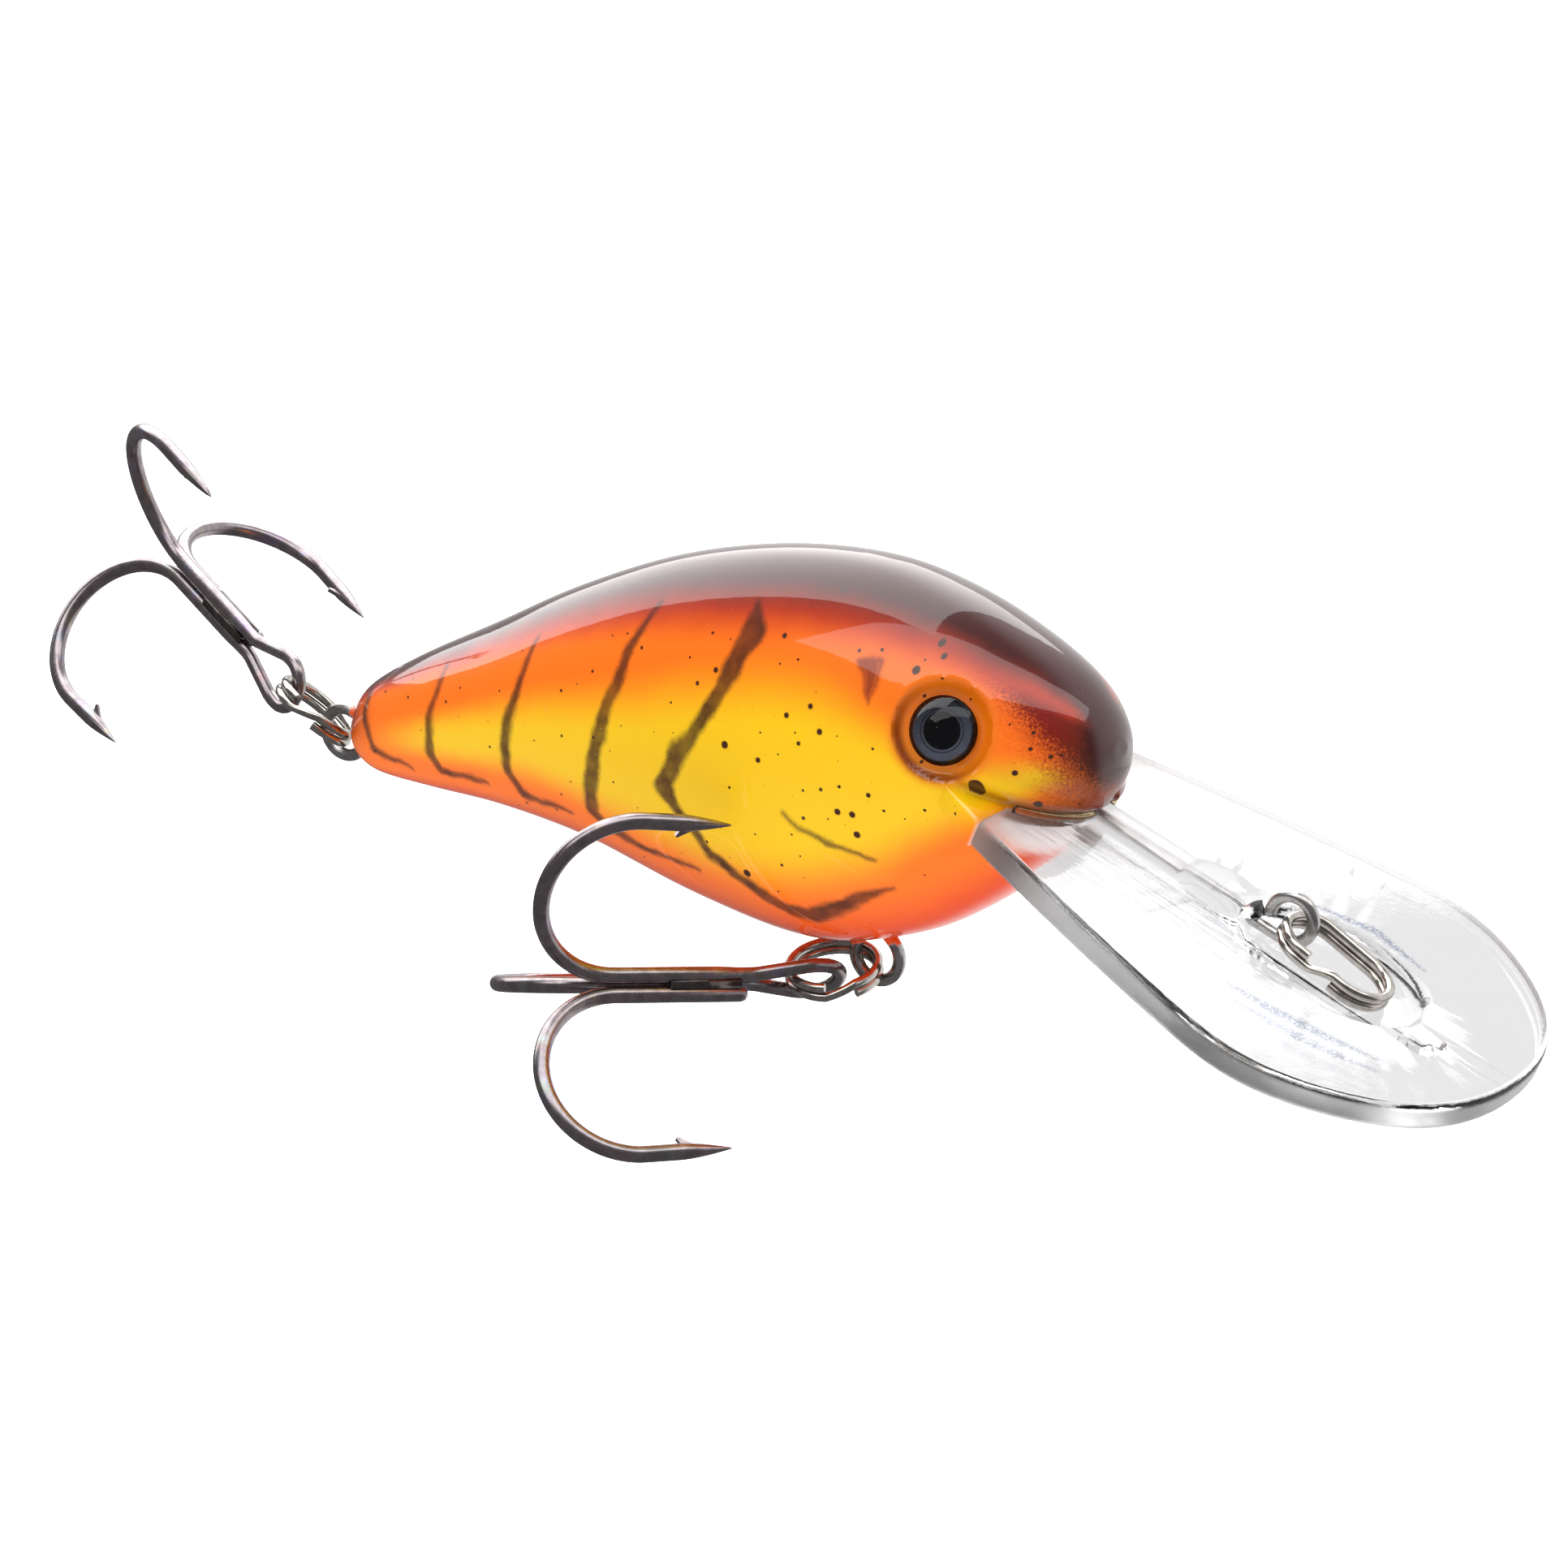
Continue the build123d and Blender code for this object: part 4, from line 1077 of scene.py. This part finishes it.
def add_barb(bm, hook, tip, direction, inward):
    """Thin blade that is cut up from the inner side of a point."""
    base = tip - direction * hook.taper
    corners = [
        base + direction * 1.3 + inward * 0.22,
        base - direction * 0.25 + inward * 1.12,
        base - direction * 0.35 + inward * 0.98,
        base + direction * 0.15 + inward * 0.20,
    ]
    face = bm.faces.new([bm.verts.new(corner) for corner in corners])
    across = direction.cross(inward)
    bmesh.ops.translate(bm, vec=across * -0.16, verts=face.verts)
    made = bmesh.ops.extrude_face_region(bm, geom=[face])
    bmesh.ops.translate(bm, vec=across * 0.32, verts=made_verts(made["geom"]))


def draw_point(wire, hook, tip_radius=0.06):
    """From the end of the bend to the tip."""
    wire.run(hook.straight)
    wire.taper(hook.taper, tip_radius, 1.5)
    wire.close()


def single_hook(bm, hook, place, axes):
    along, outward, across = axes
    centre, direction, tip = bend_places(hook, place["eye"], axes)
    start = place["eye"] + along * 3.9 + outward * hook.offset
    wire = Wire(bm, start, along, hook.wire * 0.55)
    wire.taper(0.5, hook.wire, 0.4, 5)
    wire.run(hook.shank - 4.4)
    wire.bend(centre, across, hook.turn, 48)
    draw_point(wire, hook)
    add_barb(bm, hook, tip, direction, -outward)


def double_hook(bm, hook, place, frames):
    """One wire from the tip of one point over the eye to the tip of the other."""
    along, single_side, single_across = frames[0]
    sideways = -single_across
    middle = place["eye"] - single_side * hook.offset / 2
    across = hook.offset * math.sin(math.radians(120))
    first_centre, first_direction, first_tip = bend_places(hook, place["eye"], frames[2])
    wire = Wire(bm, first_tip, -first_direction, 0.06)
    wire.taper(hook.taper, hook.wire, 0.66)
    wire.run(hook.straight)
    wire.bend(first_centre, -frames[2][2], hook.turn, 48)
    wire.run(hook.shank - 6.0)
    wire.taper(1.5, 0.525, 1.0, 4)
    outline = [(3.2, across), (-0.6, 1.9), (-3.15, 1.9), (-3.15, -1.9), (-0.6, -1.9), (3.2, -across), (4.5, -across)]
    corners = [middle + along * x + sideways * y for x, y in outline]
    wire.follow(corners, (3.0, 3.0, 1.8, 1.8, 3.0, 3.0))
    wire.taper(1.5, hook.wire, 1.0, 4)
    wire.run(hook.shank - 6.0)
    centre, direction, tip = bend_places(hook, place["eye"], frames[1])
    wire.bend(centre, frames[1][2], hook.turn, 48)
    draw_point(wire, hook)
    add_barb(bm, hook, first_tip, first_direction, -frames[2][1])
    add_barb(bm, hook, tip, direction, -frames[1][1])


class LURE_OT_treble_hooks(bpy.types.Operator):
    """Build the double hook, the single hook and the braze of each treble"""

    bl_idname = "lure.treble_hooks"
    bl_label = "Treble hooks"

    def execute(self, context):
        hook = context.scene.lure_hook
        plating = metal("Black nickel")
        filler = metal("Plated braze")
        for name, place in HOOKS.items():
            frames = hook_frames(place)
            for kind, draw, axes in (("double", double_hook, frames), ("single", single_hook, frames[0])):
                bm = bmesh.new()
                draw(bm, hook, place, axes)
                finish_wire(bm)
                node = f"{name}_hook_{kind}"
                show_mesh(bm, f"{name}_{kind}_wire", plating, f"{name}_treble", node)
            merged_copy(f"{name}_hook_braze", f"{name}_filler", filler, f"{name}_treble", 50)
        return {"FINISHED"}


class LURE_OT_ballast(bpy.types.Operator):
    """Give the hidden ballast slugs their bare metal"""

    bl_idname = "lure.ballast"
    bl_label = "Ballast"

    def execute(self, context):
        slug = metal("Bare slug")
        for node in ("front_ballast", "rear_ballast"):
            merged_copy(node, "bare_" + node, slug, "body", 40)
        return {"FINISHED"}


# ---------------------------------------------------------------- stage
CAMERA_PLACE = Vector((164.3, -298.0, 97.0))
CAMERA_RIGHT = Vector((0.8295, 0.5446, -0.1240))
CAMERA_BACK = Vector((0.558, -0.798, 0.227))
CAMERA_LENS = 121.1


def soft_light(name, centre, along, across, size, power, glossy=True):
    """Rectangular soft light whose long side runs along a direction and whose face looks at the lure."""
    data = bpy.data.lights.new(name, "AREA")
    data.shape = "RECTANGLE"
    data.size, data.size_y = size
    data.energy = power
    light = bpy.data.objects.new(name, data)
    along = along.normalized()
    facing = along.cross(across).normalized()
    across = facing.cross(along)
    turn = Matrix((along, across, facing)).transposed().to_4x4()
    light.matrix_world = Matrix.Translation(centre) @ turn
    light.visible_glossy = glossy
    bpy.context.scene.collection.objects.link(light)


class LURE_OT_stage(bpy.types.Operator):
    """Set up the floor, the lights and the camera"""

    bl_idname = "lure.stage"
    bl_label = "Stage"

    def execute(self, context):
        stage = context.scene.lure_stage
        lowest = CAD_BOX[0][2] - stage.floor_drop
        bm = bmesh.new()
        bmesh.ops.create_grid(bm, x_segments=1, y_segments=1, size=6.0)
        bmesh.ops.translate(bm, vec=(0, 0, lowest), verts=bm.verts)
        mesh = bpy.data.meshes.new("floor")
        bm.to_mesh(mesh)
        bm.free()
        floor = bpy.data.objects.new("floor", mesh)
        material, nodes, place = start_material("Pale floor")
        soft = nodes.linear(nodes.noise(place, 0.002, 2.0), 0.02, 0.98)
        tone = nodes.mix(soft, (0, 0, 0), stage.floor_tone)
        rays = nodes.add("ShaderNodeLightPath").outputs
        # the lip sees a slightly grey floor, and the camera a white one
        glow = nodes.linear(rays["Is Transmission Ray"], 0.35, nodes.linear(rays["Is Camera Ray"], 0.6, 0.45))
        nodes.shade(
            Base_Color=nodes.mix(rays["Is Transmission Ray"], tone, (0, 0, 0)), Emission_Strength=glow,
            Roughness=0.9, Emission_Color=(1, 1, 1, 1),
        )
        mesh.materials.append(material)
        context.scene.collection.objects.link(floor)
        floor.visible_glossy = False
        middle = Vector((-0.05, 0, 0.015))
        soft_light(
            "back_softbox", middle + Vector((-0.47, 0.35, 0.40)), X_AXIS, Y_AXIS, (1.06, 0.90), stage.key_power
        )
        soft_light(
            "side_softbox", middle + Vector((0.24, -0.09, 0.40)), Vector((0.72, 0.69, 0)), Vector((-0.69, 0.72, 0)),
            (1.14, 0.28), stage.side_power,
        )
        soft_light(
            "front_fill", middle + Vector((0.15, -0.9, 0.35)), X_AXIS, Vector((0, 0.36, 0.93)), (1.2, 0.9),
            stage.fill_power, glossy=False,
        )
        world = bpy.data.worlds.new("Studio")
        world.use_nodes = True
        context.scene.world = world
        nodes = Nodes(world.node_tree)
        background = world.node_tree.nodes["Background"]
        direction = nodes.add("ShaderNodeTexCoord").outputs["Generated"]
        behind = nodes.rise(nodes.dot(direction, (0.25, 0.97, 0)), 0.35, 0.70)
        paths = nodes.add("ShaderNodeLightPath").outputs
        mirrored = nodes.mix(behind, (0.16, 0.155, 0.16), (1, 1, 1))
        around = nodes.mix(paths["Is Glossy Ray"], (0.34, 0.34, 0.35), mirrored)
        through = nodes.mix(paths["Is Transmission Ray"], around, (0.80, 0.80, 0.81))
        sky = nodes.mix(paths["Is Camera Ray"], through, (1.0, 1.0, 1.0))
        nodes.feed(background.inputs["Color"], sky)
        lens = bpy.data.cameras.new("camera")
        lens.sensor_width, lens.lens, lens.clip_end = 36.0, CAMERA_LENS, 50.0
        camera = bpy.data.objects.new("camera", lens)
        back = CAMERA_BACK.normalized()
        up = back.cross(CAMERA_RIGHT).normalized()
        turn = Matrix((up.cross(back), up, back)).transposed().to_4x4()
        camera.matrix_world = Matrix.Translation(CAMERA_PLACE * MM) @ turn
        context.scene.collection.objects.link(camera)
        context.scene.camera = camera
        context.scene.view_settings.view_transform = "Standard"
        return {"FINISHED"}


# ---------------------------------------------------------------- panel and registration
OPERATORS = (
    LURE_OT_body_shells,
    LURE_OT_eyes,
    LURE_OT_diving_lip,
    LURE_OT_fixed_wires,
    LURE_OT_split_rings,
    LURE_OT_treble_hooks,
    LURE_OT_ballast,
    LURE_OT_stage,
)
SETTINGS = {
    "lure_paint": LurePaint,
    "lure_hook": LureHook,
    "lure_ring": LureRing,
    "lure_stage": LureStage,
}


class LURE_PT_panel(bpy.types.Panel):
    """Lists the steps of the crankbait and their settings"""

    bl_idname = "LURE_PT_panel"
    bl_label = "Crankbait"
    bl_space_type = "VIEW_3D"
    bl_region_type = "UI"
    bl_category = "Crankbait"

    def draw(self, context):
        for operator in OPERATORS:
            self.layout.operator(operator.bl_idname)
        for name, group in SETTINGS.items():
            box = self.layout.box()
            for key in group.__annotations__:
                box.prop(getattr(context.scene, name), key)


def register():
    for group in SETTINGS.values():
        bpy.utils.register_class(group)
    for name, group in SETTINGS.items():
        setattr(bpy.types.Scene, name, bpy.props.PointerProperty(type=group))
    for operator in OPERATORS:
        bpy.utils.register_class(operator)
    bpy.utils.register_class(LURE_PT_panel)


def unregister():
    bpy.utils.unregister_class(LURE_PT_panel)
    for operator in reversed(OPERATORS):
        bpy.utils.unregister_class(operator)
    for name, group in SETTINGS.items():
        delattr(bpy.types.Scene, name)
        bpy.utils.unregister_class(group)


def main():
    """Build everything in order."""
    register()
    for operator in OPERATORS:
        category, name = operator.bl_idname.split(".")
        getattr(getattr(bpy.ops, category), name)()


if __name__ == "__main__":
    main()
